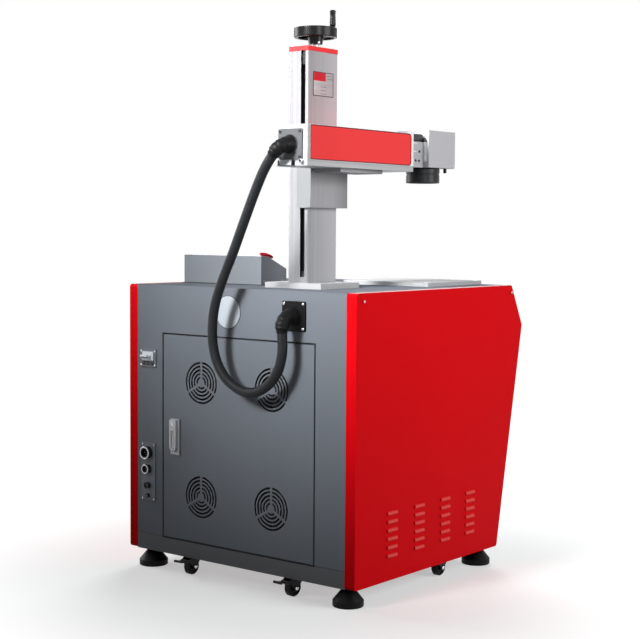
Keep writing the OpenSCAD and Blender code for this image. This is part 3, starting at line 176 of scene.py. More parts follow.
class Finish:
    """A material: its shader, and the nodes that vary it over a surface."""

    def __init__(self, name, **constants):
        self.name = name
        self.material = bpy.data.materials.new(name)
        self.material.use_nodes = True
        self.tree = self.material.node_tree
        self.shader = self.tree.nodes["Principled BSDF"]
        for socket, value in constants.items():
            self.put(self.shader.inputs[socket.replace("_", " ")], value)

    def put(self, socket, value):
        """Gives a socket a number or colour, or links it to a value."""
        if isinstance(value, Value):
            self.tree.links.new(value.socket, socket)
        else:
            socket.default_value = value

    def node(self, kind, settings=None, inputs=None, output=0):
        """Adds a node: its settings first, then the values or links of its sockets."""
        made = self.tree.nodes.new(kind)
        for name, value in (settings or {}).items():
            setattr(made, name, value)
        for name, value in (inputs or {}).items():
            self.put(made.inputs[name], value)
        return Value(self, made.outputs[output])

    def maths(self, operation, *terms):
        """A Math node's result for its terms."""
        return self.node("ShaderNodeMath", {"operation": operation}, dict(enumerate(terms)))

    def place(self):
        """Where a point of the surface lies on its piece, in metres."""
        return self.node("ShaderNodeTexCoord", output="Object")

    def along(self, axis):
        """One coordinate of that place: 0, 1 or 2."""
        return self.node("ShaderNodeSeparateXYZ", inputs={"Vector": self.place()}, output=axis)

    def noise(self, size, detail, stretch=(1, 1, 1)):
        """Random grain whose lumps are about size metres wide, longer where stretch is under 1."""
        spread = self.node("ShaderNodeVectorMath", {"operation": "MULTIPLY"},
                           {0: self.place(), 1: stretch})
        return self.node("ShaderNodeTexNoise", inputs={"Vector": spread, "Scale": 1 / size,
                                                       "Detail": detail, "Roughness": 0.55})

    def smooth(self, value, low, high):
        """0 below low and 1 above high, with a soft change between."""
        return self.node("ShaderNodeMapRange", {"interpolation_type": "SMOOTHSTEP"},
                         {"Value": value, "From Min": low, "From Max": high})

    def between(self, axis, low, high, soft=0.0004):
        """1 where one coordinate lies from low to high."""
        spot = self.along(axis)
        return self.smooth(spot, low - soft, low + soft) * (1 - self.smooth(spot, high - soft, high + soft))

    def within(self, low, high, soft=0.0004):
        """1 inside a box given by two corners."""
        mask = self.between(0, low[0], high[0], soft)
        for axis in (1, 2):
            mask = mask * self.between(axis, low[axis], high[axis], soft)
        return mask

    def height(self, out):
        """How far a point lies along a direction, in metres."""
        return self.node("ShaderNodeVectorMath", {"operation": "DOT_PRODUCT"},
                         {0: self.place(), 1: out}, "Value")

    def tint(self, factor, colour):
        """Lays a colour over the one that the finish has, where factor is 1."""
        under = Value(self, self.shader.inputs["Base Color"].links[0].from_socket)
        self.colour(self.mix(factor, under, colour))

    def seen(self):
        """1 where the camera looks straight at the surface, or at it in gloss or through glass."""
        camera, glossy, through = [self.node("ShaderNodeLightPath", output=f"Is {kind} Ray")
                                   for kind in ("Camera", "Glossy", "Transmission")]
        return self.maths("MAXIMUM", self.maths("MAXIMUM", camera, glossy), through)

    def mix(self, factor, one, other):
        """A colour between two colours."""
        return self.node("ShaderNodeMix", {"data_type": "RGBA"}, {0: factor, 6: one, 7: other}, 2)

    def rounded(self, width):
        """The way out of the surface, as if its edges were rounded by width."""
        return self.node("ShaderNodeBevel", {"samples": 6}, {"Radius": width})

    def edges(self, width):
        """1 on edges and corners, 0 on flat stretches."""
        plain = self.node("ShaderNodeNewGeometry", output="True Normal")
        across = self.node("ShaderNodeVectorMath", {"operation": "DOT_PRODUCT"},
                           {0: self.rounded(width), 1: plain}, "Value")
        return self.smooth(1 - across, 0.02, 0.25)

    def colour(self, value):
        self.put(self.shader.inputs["Base Color"], value)

    def roughness(self, value):
        self.put(self.shader.inputs["Roughness"], value)

    def bumps(self, height, distance, edge):
        """Relief from a height of 0 to 1, distance metres deep, over edges rounded by edge."""
        relief = self.node("ShaderNodeBump", inputs={"Height": height, "Distance": distance,
                                                     "Strength": 1.0, "Normal": self.rounded(edge)})
        self.put(self.shader.inputs["Normal"], relief)


class Backdrop(Finish):
    """The world's shader, made with the same nodes."""

    def __init__(self):
        self.material = bpy.data.worlds.new("studio")
        bpy.context.scene.world = self.material
        self.material.use_nodes = True
        self.tree = self.material.node_tree
        self.shader = self.tree.nodes["Background"]
        self.put(self.shader.inputs["Color"], WHITE)


def rgb(red, green, blue):
    """A colour given as the screen's 0 to 255."""
    def plain(v):
        share = v / 255
        return share / 12.92 if share <= 0.04045 else ((share + 0.055) / 1.055) ** 2.4
    return (plain(red), plain(green), plain(blue), 1)


def shaded(colour, factor):
    """A colour made lighter or darker."""
    return tuple(min(1, c * factor) for c in colour[:3]) + (1,)


def powder_coat(name, colour, shine, peel, edge_wear_and_highlight=0.25):
    """Baked powder paint: orange-peel skin, slight clouding, and edges painted a little lighter, partly
    rubbed wear and partly a painted highlight.
    """
    paint = Finish(name, Specular_IOR_Level=shine)
    cloud = paint.noise(0.35, 2)
    dirt = paint.noise(0.02, 5)
    base = paint.mix(cloud, shaded(colour, 0.94), shaded(colour, 1.06))
    base = paint.mix(paint.smooth(dirt, 0.62, 0.8) * 0.25, base, shaded(colour, 0.8))
    # Edges lightened: partly rubbed wear, partly a painted highlight.
    base = paint.mix(paint.edges(0.0012) * edge_wear_and_highlight, base, shaded(colour, 1.9))
    paint.colour(base)
    paint.roughness(0.4 + dirt * 0.16)
    paint.bumps(paint.noise(0.0022, 1), peel, 0.0008)
    return paint


def brushed(name, colour, metal, stretch, rough=0.32, shine=0.5, streak=0.1):
    """Metal drawn or brushed one way: fine lines, streaks of a strength, and uneven gloss."""
    face = Finish(name, Metallic=metal, Specular_IOR_Level=shine)
    lines = face.noise(0.0004, 2, stretch)
    streaks = face.noise(0.009, 3, stretch)
    blotch = face.noise(0.12, 3)
    dull, bright = shaded(colour, 1 - streak), shaded(colour, 1 + streak)
    face.colour(face.mix(face.smooth(streaks, 0.3, 0.75), dull, bright))
    face.roughness(rough + lines * 0.14 + blotch * 0.08)
    face.bumps(lines, 0.00002, 0.0006)
    return face


def moulded(name, colour, rough, grain=0.0009, depth=0.00004, dust=0.15, shine=0.2):
    """Moulded plastic or rubber: pebbled skin, dust that lies in the grain, and edges painted lighter,
    partly as wear and partly as a painted highlight.
    """
    skin = Finish(name, Specular_IOR_Level=shine)
    pebble = skin.noise(grain, 2)
    cloud = skin.noise(0.03, 4)
    base = skin.mix(skin.smooth(cloud, 0.5, 0.85) * dust, colour, shaded(colour, 3.2))
    # Edges lightened: partly wear, partly a painted highlight.
    skin.colour(skin.mix(skin.edges(0.0008) * 0.3, base, shaded(colour, 2.2)))
    skin.roughness(rough + cloud * 0.12)
    skin.bumps(pebble, depth, 0.0006)
    return skin


# Colours that several finishes share
CABINET_GREY = rgb(115, 121, 129)
CAST_GREY = rgb(196, 198, 202)
NOSE_WHITE = rgb(222, 227, 232)
NEAR_BLACK = rgb(15, 15, 16)


def make_finishes():
    """Every finish by its name."""
    gland_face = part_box("upper_gland")[0].y + GLAND_PLATE_T * MM
    made = [
        powder_coat("cabinet_grey", CABINET_GREY, 0.12, 0.00004, 0.15),
        louvred_red(),
        door_paint("rear_door", BACKWARDS),
        door_paint("front_door", FRONT_FACE),
        powder_coat("frame_grey", rgb(102, 104, 107), 0.2, 0.0001),
        powder_coat("inner_grey", rgb(70, 71, 74), 0.2, 0.00006),
        powder_coat("console_grey", rgb(123, 128, 134), 0.12, 0.00004, 0.15),
        powder_coat("deck_grey", CABINET_GREY, 0.0, 0.00004, 0.15),
        powder_coat("arm_red", rgb(252, 64, 66), 0.15, 0.00002, 0.06),
        powder_coat("head_grey", rgb(192, 192, 196), 0.3, 0.00003, 0.2),
        powder_coat("handle_grey", CAST_GREY, 0.4, 0.00003),
        brushed("table_silver", rgb(178, 179, 181), 0.15, (0.02, 1, 1), 0.5, shine=0.0, streak=0.04),
        brushed("steel", rgb(170, 171, 174), 0.95, (1, 1, 0.05), 0.22),
        brushed("nut_brass", rgb(212, 172, 92), 0.95, (1, 1, 0.1), 0.25),
        brushed("chrome", rgb(214, 216, 220), 1.0, (1, 1, 1), 0.08),
        moulded("black_plastic", NEAR_BLACK, 0.36, dust=0.05),
        moulded("wheel_black", rgb(9, 9, 10), 0.2, 0.004, 0.00001, 0.02),
        moulded("rubber_black", NEAR_BLACK, 0.4, 0.0014, 0.00006, 0.06, 0.12),
        moulded("hose_black", rgb(29, 31, 34), 0.4, 0.0012, 0.00005, 0.06, 0.16),
        moulded("lens_black", rgb(32, 33, 35), 0.3, 0.0006, 0.00001, 0.02),
        moulded("estop_red", rgb(196, 26, 40), 0.25, 0.003, 0.00001, 0.02, 0.45),
        moulded("button_green", rgb(40, 140, 66), 0.25, 0.003, 0.00001, 0.02, 0.45),
        moulded("breaker_white", NOSE_WHITE, 0.38, 0.001, 0.00002, 0.0),
        powder_coat("disc_grey", rgb(186, 194, 202), 0.2, 0.00003),
        moulded("gland_ring", rgb(58, 60, 62), 0.35),
        brushed("edge_silver", rgb(250, 250, 251), 0.0, (1, 0.02, 1)),
        # Painted shadow of the gap round the arm's red side.
        moulded("gap_shadow_red", rgb(96, 16, 20), 0.5, dust=0.0),
        brushed("label_silver", rgb(172, 173, 176), 0.2, (1, 0.05, 1)),
        moulded("label_line", rgb(70, 62, 66), 0.5),
        brushed("dark_steel", rgb(62, 63, 66), 0.6, (1, 1, 0.05)),
        moulded("label_red", rgb(206, 24, 44), 0.3, 0.002, 0.00001, 0.0),
        layered("upper_gland", gland_face, rgb(88, 90, 93), NEAR_BLACK),
        breaker_finish(),
        layered("connectors", rear_plate_face(), CABINET_GREY, NEAR_BLACK),
        column_metal(),
        bracket_metal(),
        arm_metal(),
        coated_glass(),
        brushed("mirror", rgb(236, 214, 160), 1.0, (1, 1, 1), 0.04),
    ]
    return {finish.name: finish for finish in made}


def rear_plate_face():
    """How far back the plates of the breaker and of the connectors reach."""
    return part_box("rear_panel")[1].y + FITTING_PLATE_T * MM


def column_metal():
    """Anodised column: drawn lines along it, a painted sheen that makes it lighter in front, and painted
    shade that makes its inside dark behind the slot.
    """
    face = brushed("column_silver", rgb(153, 154, 157), 0.3, (1, 1, 0.02))
    low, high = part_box("column_post")
    # Painted shade: the hollow post's inside near-black, seen through the slot.
    painted_shade_inside = face.within((low.x + WALL_SKIN, low.y + WALL_SKIN, low.z),
                         (high.x - WALL_SKIN, high.y - WALL_SKIN, high.z + WALL_SKIN))
    # Painted sheen: the face lighter towards the front.
    front_painted_light = 1 - face.smooth(face.along(1), low.y, high.y)
    face.tint(front_painted_light, rgb(176, 176, 180))
    face.tint(painted_shade_inside, NEAR_BLACK)
    return face


def bracket_metal():
    """The bracket's drawn metal, with painted shade darker towards its front edge and on its rear face."""
    face = brushed("bracket_silver", rgb(164, 164, 167), 0.2, (1, 1, 0.05), 0.45, shine=0.1, streak=0.04)
    low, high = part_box("carriage_bracket")
    front_painted_light = 1 - face.smooth(face.along(1), low.y, low.y + 0.6 * (high.y - low.y))
    # Painted shade: darker towards the front edge.
    face.tint(front_painted_light * 0.8, rgb(122, 121, 124))
    # Painted shade: the rear face a little darker.
    face.tint(face.smooth(face.along(1), high.y - 1.5 * MM, high.y - 0.5 * MM), rgb(136, 138, 140))
    return face


ARM_METAL = 0.3


def arm_metal():
    """The arm's bare aluminium, with a black moulded cap on its coupling block."""
    face = brushed("arm_silver", rgb(172, 173, 175), ARM_METAL, (1, 0.02, 1))
    arm_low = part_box("arm_cover")[0]
    node_low, node_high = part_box("arm_frame")
    cap = face.within((node_low.x, node_low.y, arm_low.z + CAP_RISE),
                      (node_high.x, arm_low.y - NOSE_T - 0.5 * MM, node_high.z), 0.0002)
    face.tint(cap, NEAR_BLACK)
    face.put(face.shader.inputs["Metallic"], ARM_METAL - cap * ARM_METAL)
    return face


def layered(name, plate_face, plate, body):
    """A finish that takes one colour up to the front of a plate and another in front of it."""
    face = powder_coat(name, body, 0.3, 0.00003, 0.2)
    face.tint(1 - face.smooth(face.along(1), plate_face + 0.1 * MM, plate_face + 0.3 * MM), plate)
    return face


def breaker_finish():
    """The circuit breaker: a plate in the cabinet's paint, and a white nose, dark round its terminals."""
    plate = rear_plate_face()
    face = layered("breaker", plate, CABINET_GREY, NOSE_WHITE)
    nose = face.smooth(face.along(1), plate + 0.1 * MM, plate + 0.3 * MM)
    terminals = 1 - face.smooth(face.along(2), BREAKER_TERMINALS_TOP * MM, (BREAKER_TERMINALS_TOP + 1) * MM)
    face.tint(nose * terminals, rgb(82, 86, 90))
    return face


def louvred_red():
    """The side panels' paint: a painted highlight on the louvres' crests, and painted shade inside and
    along the top edge.
    """
    paint = powder_coat("louvred_red", rgb(230, 5, 17), 0.05, 0.00003, 0.08)
    reach = paint.maths("ABSOLUTE", paint.along(0))
    # Painted highlight: the louvres' raised crests paler.
    crest_highlight = paint.smooth(reach, PANEL_FACE + 0.9 * MM, PANEL_FACE + 4.6 * MM)
    paint.tint(crest_highlight * 0.9, rgb(246, 96, 92))
    # Painted shade: faces that look into the cabinet made dark.
    normal = paint.node("ShaderNodeNewGeometry", output="True Normal")
    inward = 0 - paint.node("ShaderNodeSeparateXYZ", inputs={"Vector": normal}) * paint.along(0)
    paint.tint(paint.smooth(inward, 0.2, 0.3), rgb(64, 20, 22))
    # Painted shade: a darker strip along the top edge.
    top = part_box("left_side_panel")[1].z
    paint.tint(paint.smooth(paint.along(2), top - 1.5 * MM, top - 0.5 * MM), rgb(140, 8, 24))
    return paint


def rise_along(out):
    """The way up along a face that looks along out."""
    return Vector((0, out.z, -out.y)) if out.z else UP


def flat_part(node, out, sunk=0.0):
    """A node's flat face, sunk below its highest: how far out it lies, and its low and high corner,
    across and up."""
    rise = rise_along(out)
    spots = [vert.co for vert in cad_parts[node].data.vertices]
    face = max(spot.dot(out) for spot in spots) - sunk
    flat = [(spot.x, spot.dot(rise)) for spot in spots if spot.dot(out) > face - 0.5 * MM]
    return face, [min(places) for places in zip(*flat)], [max(places) for places in zip(*flat)]


def door_paint(node, out):
    """A door's paint, with the bare cast plate behind its handle."""
    paint = powder_coat(f"{node}_grey", CABINET_GREY, 0.12, 0.00004, 0.15)
    face, low, high = flat_part(node, out)
    mask = paint.smooth(paint.height(out), face - 1.2 * MM, face - 0.6 * MM)
    mask = mask * paint.between(0, low[0] + 4.5 * MM, high[0] - 4.5 * MM)
    rise = paint.height(rise_along(out))
    mask = mask * paint.smooth(rise, low[1] + 3.5 * MM, low[1] + 4.5 * MM)
    mask = mask * (1 - paint.smooth(rise, high[1] - 2 * MM, high[1] - 1 * MM))
    paint.tint(mask, CAST_GREY)
    return paint


def coated_glass():
    """Lens glass with a faint coloured coating."""
    glass = Finish("lens_glass", Coat_Weight=1.0, Coat_Roughness=0.02, IOR=1.6)
    speck = glass.noise(0.002, 4)
    glass.colour(glass.mix(glass.noise(0.03, 2), rgb(60, 40, 92), rgb(24, 66, 84)))
    glass.roughness(0.03 + glass.smooth(speck, 0.6, 0.8) * 0.06)
    return glass


# Which finish each CAD node takes; # stands for 1 to 4
NODE_FINISHES = {
    "deck_grey": ["top_deck"],
    "cabinet_grey": ["rear_panel", "front_panel"],
    "rear_door_grey": ["rear_door"],
    "front_door_grey": ["front_door"],
    "console_grey": ["console_housing"],
    "louvred_red": ["left_side_panel", "right_side_panel"],
    "frame_grey": ["main_frame"],
    "inner_grey": ["laser_source", "control_unit"],
    "arm_red": ["arm_cover", "column_cap"],
    "column_silver": ["column_post"],
    "arm_silver": ["arm_frame"],
    "table_silver": ["work_table", "column_base"],
    "bracket_silver": ["carriage_bracket"],
    "dark_steel": ["column_guide"],
    "head_grey": ["scan_head"],
    "steel": ["lead_screw"],
    "nut_brass": ["lift_nut"],
    "handle_grey": ["rear_handle", "front_handle"],
    "wheel_black": ["handwheel", "crank_knob"],
    "connectors": ["connector_panel"],
    "breaker": ["circuit_breaker"],
    "upper_gland": ["upper_gland"],
    "black_plastic": ["fan_frames", "fan_rotor_#", "caster_fork_#", "brake_pedal_#"],
    "rubber_black": ["lower_gland", "foot_#", "caster_wheel_#"],
    "lens_black": ["lens_barrel"],
    "lens_glass": ["lens_glass"],
    "mirror": ["scan_mirror_x", "scan_mirror_y"],
    "estop_red": ["estop_button"],
    "button_green": ["start_button"],
    "breaker_white": ["breaker_toggle"],
}


def finish_nodes():
    """Gives every CAD node its finish."""
    for finish, nodes in NODE_FINISHES.items():
        for node in sorted({node.replace("#", number) for node in nodes for number in "1234"}):
            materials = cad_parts[node].data.materials
            materials.clear()
            materials.append(finishes[finish].material)


# Making pieces

# A cross product shorter than this means that two directions are alike
STRAIGHT = 1e-6


def make_piece(name, form, finish, body, smooth_angle=38):
    """Turns a bmesh into a named piece with its finish, on its body."""
    mesh = bpy.data.meshes.new(name)
    bmesh.ops.recalc_face_normals(form, faces=form.faces)
    form.to_mesh(mesh)
    form.free()
    mesh.polygons.foreach_set("use_smooth", [True] * len(mesh.polygons))
    mesh.set_sharp_from_angle(angle=radians(smooth_angle))
    mesh.materials.append(finishes[finish].material)
    piece = add_object(name, mesh)
    if body:
        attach(piece, body)
    return piece


def frame_at(place, out):
    """A frame whose Z points out of a surface at a place."""
    return Matrix.Translation(place) @ Vector(out).to_track_quat("Z", "Y").to_matrix().to_4x4()


def join_rings(form, below, above):
    """Adds the faces between two rings; one of them may be a single point."""
    steps = max(len(below), len(above))
    for step in range(steps):
        after = (step + 1) % steps
        if len(below) == 1:
            form.faces.new((below[0], above[step], above[after]))
        elif len(above) == 1:
            form.faces.new((below[step], below[after], above[0]))
        else:
            form.faces.new((below[step], below[after], above[after], above[step]))


def turn_form(form, profile, base, steps, hexagon=()):
    """Adds a closed form turned about the Z of its base: the profile is radius and height.
    Rings whose number is in hexagon are six-sided."""
    rings = []
    for number, (radius, height) in enumerate(profile):
        if radius == 0:
            rings.append([form.verts.new(base @ Vector((0, 0, height)))])
            continue
        ring = []
        for step in range(steps):
            angle = 2 * pi * step / steps
            reach = radius
            if number in hexagon:
                reach = radius * cos(pi / 6) / cos(angle % (pi / 3) - pi / 6)
            spot = Vector((reach * cos(angle), reach * sin(angle), height))
            ring.append(form.verts.new(base @ spot))
        rings.append(ring)
    for below, above in zip(rings, rings[1:]):
        join_rings(form, below, above)


def sweep_form(form, path, radius_at, steps):
    """Adds a closed tube along a path; radius_at gives its radius at a point's number."""
    side = (path[1] - path[0]).cross(BACKWARDS)
    if side.length < STRAIGHT:
        side = UP.copy()
    rings = []
    for number, point in enumerate(path):
        way = (path[min(number + 1, len(path) - 1)] - path[max(number - 1, 0)]).normalized()
        side = (side - way * side.dot(way)).normalized()
        other = way.cross(side)
        radius = radius_at(number)
        rings.append([form.verts.new(point + radius * (side * cos(a) + other * sin(a)))
                      for a in (2 * pi * k / steps for k in range(steps))])
    for below, above in zip(rings, rings[1:]):
        join_rings(form, below, above)
    form.faces.new(rings[0])
    form.faces.new(list(reversed(rings[-1])))


def block_form(form, size, base, bevel):
    """Adds a box of a size about its base, with rounded edges."""
    made = bmesh.ops.create_cube(form, size=1, matrix=base @ Matrix.Diagonal((*size, 1)))
    edges = {edge for vert in made["verts"] for edge in vert.link_edges}
    bmesh.ops.bevel(form, geom=list(edges), offset=bevel, segments=3, affect="EDGES", profile=0.5)


def cap_screw(form, place, out, size, head):
    """Adds a round-headed screw with a six-sided socket; size is its head's width."""
    radius = size / 2
    height = size * head
    socket = radius * 0.5
    profile = [(0, height * 0.45), (socket, height * 0.45), (socket, height), (radius * 0.78, height),
               (radius * 0.95, height * 0.82), (radius, height * 0.55), (radius, 0), (0, 0)]
    turn_form(form, profile, frame_at(place, out), 24, (1, 2))


# Hose: the same points as the solid's route, in millimetres. It is on no body, so it keeps its place when
# the carriage moves; add_hose works out a lean along BLEND_LEAN, but nothing uses it.
BLEND_LEAN = Vector((0.5, 0, 1))
HOSE_D = 26 * MM
HOSE_PLACES = [
    (-194.9, 425, 1138.5), (-161, 423, 1098), (-127, 420, 1042), (-88, 418, 965), (-49, 415, 888),
    (-22, 412, 841), (5, 410, 788), (23, 408, 740), (31, 406, 694), (31, 404, 648), (18, 403, 602),
    (-10, 402, 563), (-47, 401, 539), (-87, 401, 529), (-128, 400, 537), (-163, 400, 560),
    (-189, 400, 594), (-201, 400, 634), (-202, 400, 668), (-200, 400, 698)]
RIB_PITCH = 4.2 * MM
RIB_DEPTH = 0.7 * MM
RIB_SHAPE = (0, 0.35, 1, 0.35)
RIB_RINGS = len(RIB_SHAPE)
CURVE_STEPS = 40


def smooth_path(places, step):
    """A curve through the places, cut into equal steps."""
    points = [Vector(p) * MM for p in places]
    points = [points[0] * 2 - points[1]] + points + [points[-1] * 2 - points[-2]]
    dense = []
    for a, b, c, d in zip(points, points[1:], points[2:], points[3:]):
        for k in range(CURVE_STEPS):
            t = k / CURVE_STEPS
            dense.append(0.5 * (2 * b + (c - a) * t + (2 * a - 5 * b + 4 * c - d) * t ** 2
                                + (3 * b - a - 3 * c + d) * t ** 3))
    dense.append(points[-2])
    length = sum((b - a).length for a, b in zip(dense, dense[1:]))
    count = round(length / step)
    path, travelled, wanted = [dense[0]], 0.0, length / count
    for a, b in zip(dense, dense[1:]):
        run = (b - a).length
        while travelled + run >= wanted * len(path) and len(path) < count:
            path.append(a.lerp(b, (wanted * len(path) - travelled) / run))
        travelled += run
    path.append(dense[-1])
    return path, length


def add_hose():
    """The corrugated hose from the arm's elbow to the cabinet's elbow."""
    path, length = smooth_path(HOSE_PLACES, RIB_PITCH / RIB_RINGS)
    form = bmesh.new()
    sweep_form(form, path, lambda number: HOSE_D / 2 - RIB_DEPTH * RIB_SHAPE[number % RIB_RINGS], 28)
    hose = make_piece("cable_hose", form, "hose_black", None, 60)
    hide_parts("laser_hose")
    start, end = path[-1], path[0]
    lean = BLEND_LEAN.normalized()
    start + lean * (end - start).dot(lean)
    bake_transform(hose)
    return path


SLEEVE_BOSS_STEPS, SLEEVE_BEND_STEPS = 6, 24


def sleeve_radius(number):
    """A sleeve's radius at a ring: wide at its boss, then slim with two-ring grooves."""
    last = SLEEVE_BOSS_STEPS + SLEEVE_BEND_STEPS
    share = number / last
    radius = 24.5 - 5.5 * min(1, share / 0.3) - 1.8 * max(0, share - 0.3)
    if number % 6 in (3, 4) and share > 0.45:
        radius -= 0.9
    return (radius if number < last else radius - 1.4) * MM


def add_elbow_sleeves():
    """The thick rubber sleeve over each gland's boss and elbow."""
    for node, (body, x, z, boss, bend, way, _) in GLANDS.items():
        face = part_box(node)[0].y / MM + GLAND_PLATE_T
        sunk = 0.5
        route = [(0, face - sunk + k * (boss + sunk) / SLEEVE_BOSS_STEPS)
                 for k in range(SLEEVE_BOSS_STEPS + 1)]
        for k in range(1, SLEEVE_BEND_STEPS + 1):
            turn = radians(90 * k / SLEEVE_BEND_STEPS)
            route.append((bend * (1 - cos(turn)), face + boss + bend * sin(turn)))
        path = [at(x + reach * way[0], y, z + reach * way[1]) for reach, y in route]
        form = bmesh.new()
        sweep_form(form, path, sleeve_radius, 36)
        make_piece(f"{node}_sleeve", form, "rubber_black", body, 45)


def add_hose_collars(path):
    """A ringed cuff where the hose leaves each elbow."""
    cuff_l, cuff_r = 12 * MM, HOSE_D / 2 + 2.2 * MM
    profile = [(0, 0), (cuff_r, 0)]
    for k in range(4):
        low = cuff_l * (k + 0.15) / 4
        profile += [(cuff_r, low), (cuff_r - 1.1 * MM, low + cuff_l * 0.07),
                    (cuff_r - 1.1 * MM, low + cuff_l * 0.13), (cuff_r, low + cuff_l * 0.19)]
    profile += [(cuff_r, cuff_l), (HOSE_D / 2 + 0.3 * MM, cuff_l + 1.5 * MM), (0, cuff_l + 1.5 * MM)]
    for name, body, end, way in (("upper_hose_cuff", "carriage", path[0], path[1] - path[0]),
                                 ("lower_hose_cuff", "cabinet", path[-1], path[-2] - path[-1])):
        form = bmesh.new()
        turn_form(form, profile, frame_at(end - way.normalized() * 3 * MM, way), 36)
        make_piece(name, form, "rubber_black", body)


# Small pieces on the machine

def four_corners(low, high, inset, z):
    """Four places at a height, inset from the corners of a box."""
    inset *= MM
    return [Vector((x, y, z)) for x in (low.x + inset, high.x - inset)
            for y in (low.y + inset, high.y - inset)]


def four_about(x, z, reach, y):
    """Four places behind the machine, reach across and up from a middle, in millimetres."""
    return [at(x + u * reach[0], y, z + v * reach[1]) for u in (-1, 1) for v in (-1, 1)]


def add_screws(name, places, out, size, finish, body, head=0.35):
    """One piece of several round-headed screws; size is in millimetres, head is its height's share."""
    form = bmesh.new()
    for place in places:
        cap_screw(form, place, out, size * MM, head)
    make_piece(name, form, finish, body)


def add_turned(name, places, out, profile, finish, body, hexagon=(), steps=40):
    """One piece of several equal turned forms; the profile is radius and height in millimetres."""
    form = bmesh.new()
    for place in places:
        turn_form(form, [(r * MM, h * MM) for r, h in profile], frame_at(place, out), steps, hexagon)
    make_piece(name, form, finish, body)


def add_block(name, places, size, finish, body, bevel):
    """One piece of several equal blocks with rounded edges."""
    form = bmesh.new()
    for place in places:
        block_form(form, Vector(size) * MM, Matrix.Translation(place), bevel * MM)
    make_piece(name, form, finish, body)


def ring(inner, outer, height):
    """The outline of a flat ring with rounded edges, open in the middle."""
    soft = min(outer - inner, height) * 0.25
    return [(inner, 0), (inner, height - soft), (inner + soft, height), (outer - soft, height),
            (outer, height - soft), (outer, 0), (inner, 0)]


def add_gland_screws():
    """Four screws on each square gland plate, and a clamping ring round each boss."""
    for node, (body, x, z, _, _, _, metal) in GLANDS.items():
        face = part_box(node)[0].y / MM + GLAND_PLATE_T
        add_screws(f"{node}_screws", four_about(x, z, GLAND_SCREWS, face), BACKWARDS, 7.5, metal, body)
        add_turned(f"{node}_ring", [at(x, face, z)], BACKWARDS, ring(19.5, 24, 3), "gland_ring", body)


def add_rear_fittings():
    """Screws, terminals, rings and plugs of the breaker and the connector plate, and the round plate."""
    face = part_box("rear_panel")[1].y / MM
    plate = face + FITTING_PLATE_T
    add_screws("breaker_screws", four_about(PANEL_X, BREAKER_Z, BREAKER_SCREWS, plate),
               BACKWARDS, 5.6, "chrome", "cabinet")
    add_screws("connector_screws", four_about(PANEL_X, CONNECTOR_Z, CONNECTOR_SCREWS, plate),
               BACKWARDS, 4.6, "steel", "cabinet")
    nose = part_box("circuit_breaker")[1].y / MM
    add_turned("breaker_terminals", [at(x, nose, BREAKER_TERMINALS_Z) for x in BREAKER_TERMINALS_X],
               BACKWARDS, [(0, 1.4), (1.4, 1.4), (1.8, 2.2), (3.6, 2.2), (4.2, 1.4), (4.2, 0), (0, 0)],
               "dark_steel", "cabinet", steps=28)
    for number, (z, wide, long) in enumerate(CONNECTORS, 1):
        end, radius = plate + long, wide / 2
        ringed = number < 3
        if ringed:
            add_turned(f"connector_ring_{number}", [at(PANEL_X, end - 2.4, z)], BACKWARDS,
                       ring(radius * 0.84, radius + 0.7, 3.6), "steel", "cabinet")
        insert = [(0, 1.6), (radius * 0.66, 1.2), (radius * 0.66, 0), (0, 0)]
        add_turned(f"connector_insert_{number}", [at(PANEL_X, plate + 3.2, z)], BACKWARDS, insert,
                   "rubber_black", "cabinet")
        pins = 5 if ringed else 3
        reach = radius * 0.38
        places = [at(PANEL_X + reach * cos(a), plate + 4.6, z + reach * sin(a))
                  for a in (2 * pi * k / pins for k in range(pins))]
        add_turned(f"connector_pins_{number}", places, BACKWARDS, [(0, 4), (0.7, 3.6), (0.9, 0), (0, 0)],
                   "steel", "cabinet", steps=12)
    middle, radius = at(ROUND_PLATE_X, face, ROUND_PLATE_Z), ROUND_PLATE_R
    add_turned("round_plate", [middle], BACKWARDS,
               [(0, 1.6), (radius - 0.6, 1.6), (radius, 1.0), (radius, 0), (0, 0)],
               "disc_grey", "cabinet", steps=72)
    add_turned("round_plate_seal", [middle], BACKWARDS, ring(radius + 0.1, radius + 1.3, 0.8),
               "rubber_black", "cabinet", steps=72)


def add_side_screws():
    """Two screws near the top edge of each side panel, in dished seats."""
    for s, node in ((-1, "left_side_panel"), (1, "right_side_panel")):
        low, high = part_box(node)
        face = low.x if s < 0 else high.x
        places = [Vector((face, high.y - ahead * MM, high.z - SIDE_SCREW_DROP * MM))
                  for ahead in SIDE_SCREW_PLACES]
        add_screws(f"{node}_screws", places, (s, 0, 0), 6.5, "steel", "cabinet", 0.3)


def add_column_fittings():
    """Screws of the base plate and cap, and the bare label plate with its field, border and lines."""
    low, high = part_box("column_base")
    add_screws("base_screws", four_corners(low, high, 15, high.z - 7.3 * MM), UP, 13, "steel",
               "cabinet", 0.52)
    low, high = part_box("column_cap")
    add_screws("cap_screws", four_corners(low, high, 10, high.z), UP, 8, "steel", "cabinet")
    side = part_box("column_post")[0].x / MM
    add_block("label_plate", [at(side - 0.2, LABEL_Y, LABEL_Z)], (1.0, LABEL_W, LABEL_H), "label_silver",
              "cabinet", 0.3)
    add_block("label_field", [at(side - 0.8, 181, 1347)], (0.5, 50, 22), "label_red", "cabinet", 0.15)
    low = (LABEL_Y - LABEL_W / 2, LABEL_Z - LABEL_H / 2)
    high = (LABEL_Y + LABEL_W / 2, LABEL_Z + LABEL_H / 2)
    add_rim("label_border", grown_outline(low, high, 0.6, 1), grown_outline(low, high, -1.2, 0.5), 0.5,
            lambda u, v, out: at(side - 0.5 - out, u, v), "label_line", "cabinet")
    add_block("label_lines", [at(side - 0.75, LABEL_Y, z) for z in (1303, 1312, 1321)]
              + [at(side - 0.75, 139, z) for z in (1343, 1351)],
              (0.4, 24, 0.9), "label_line", "cabinet", 0.1)


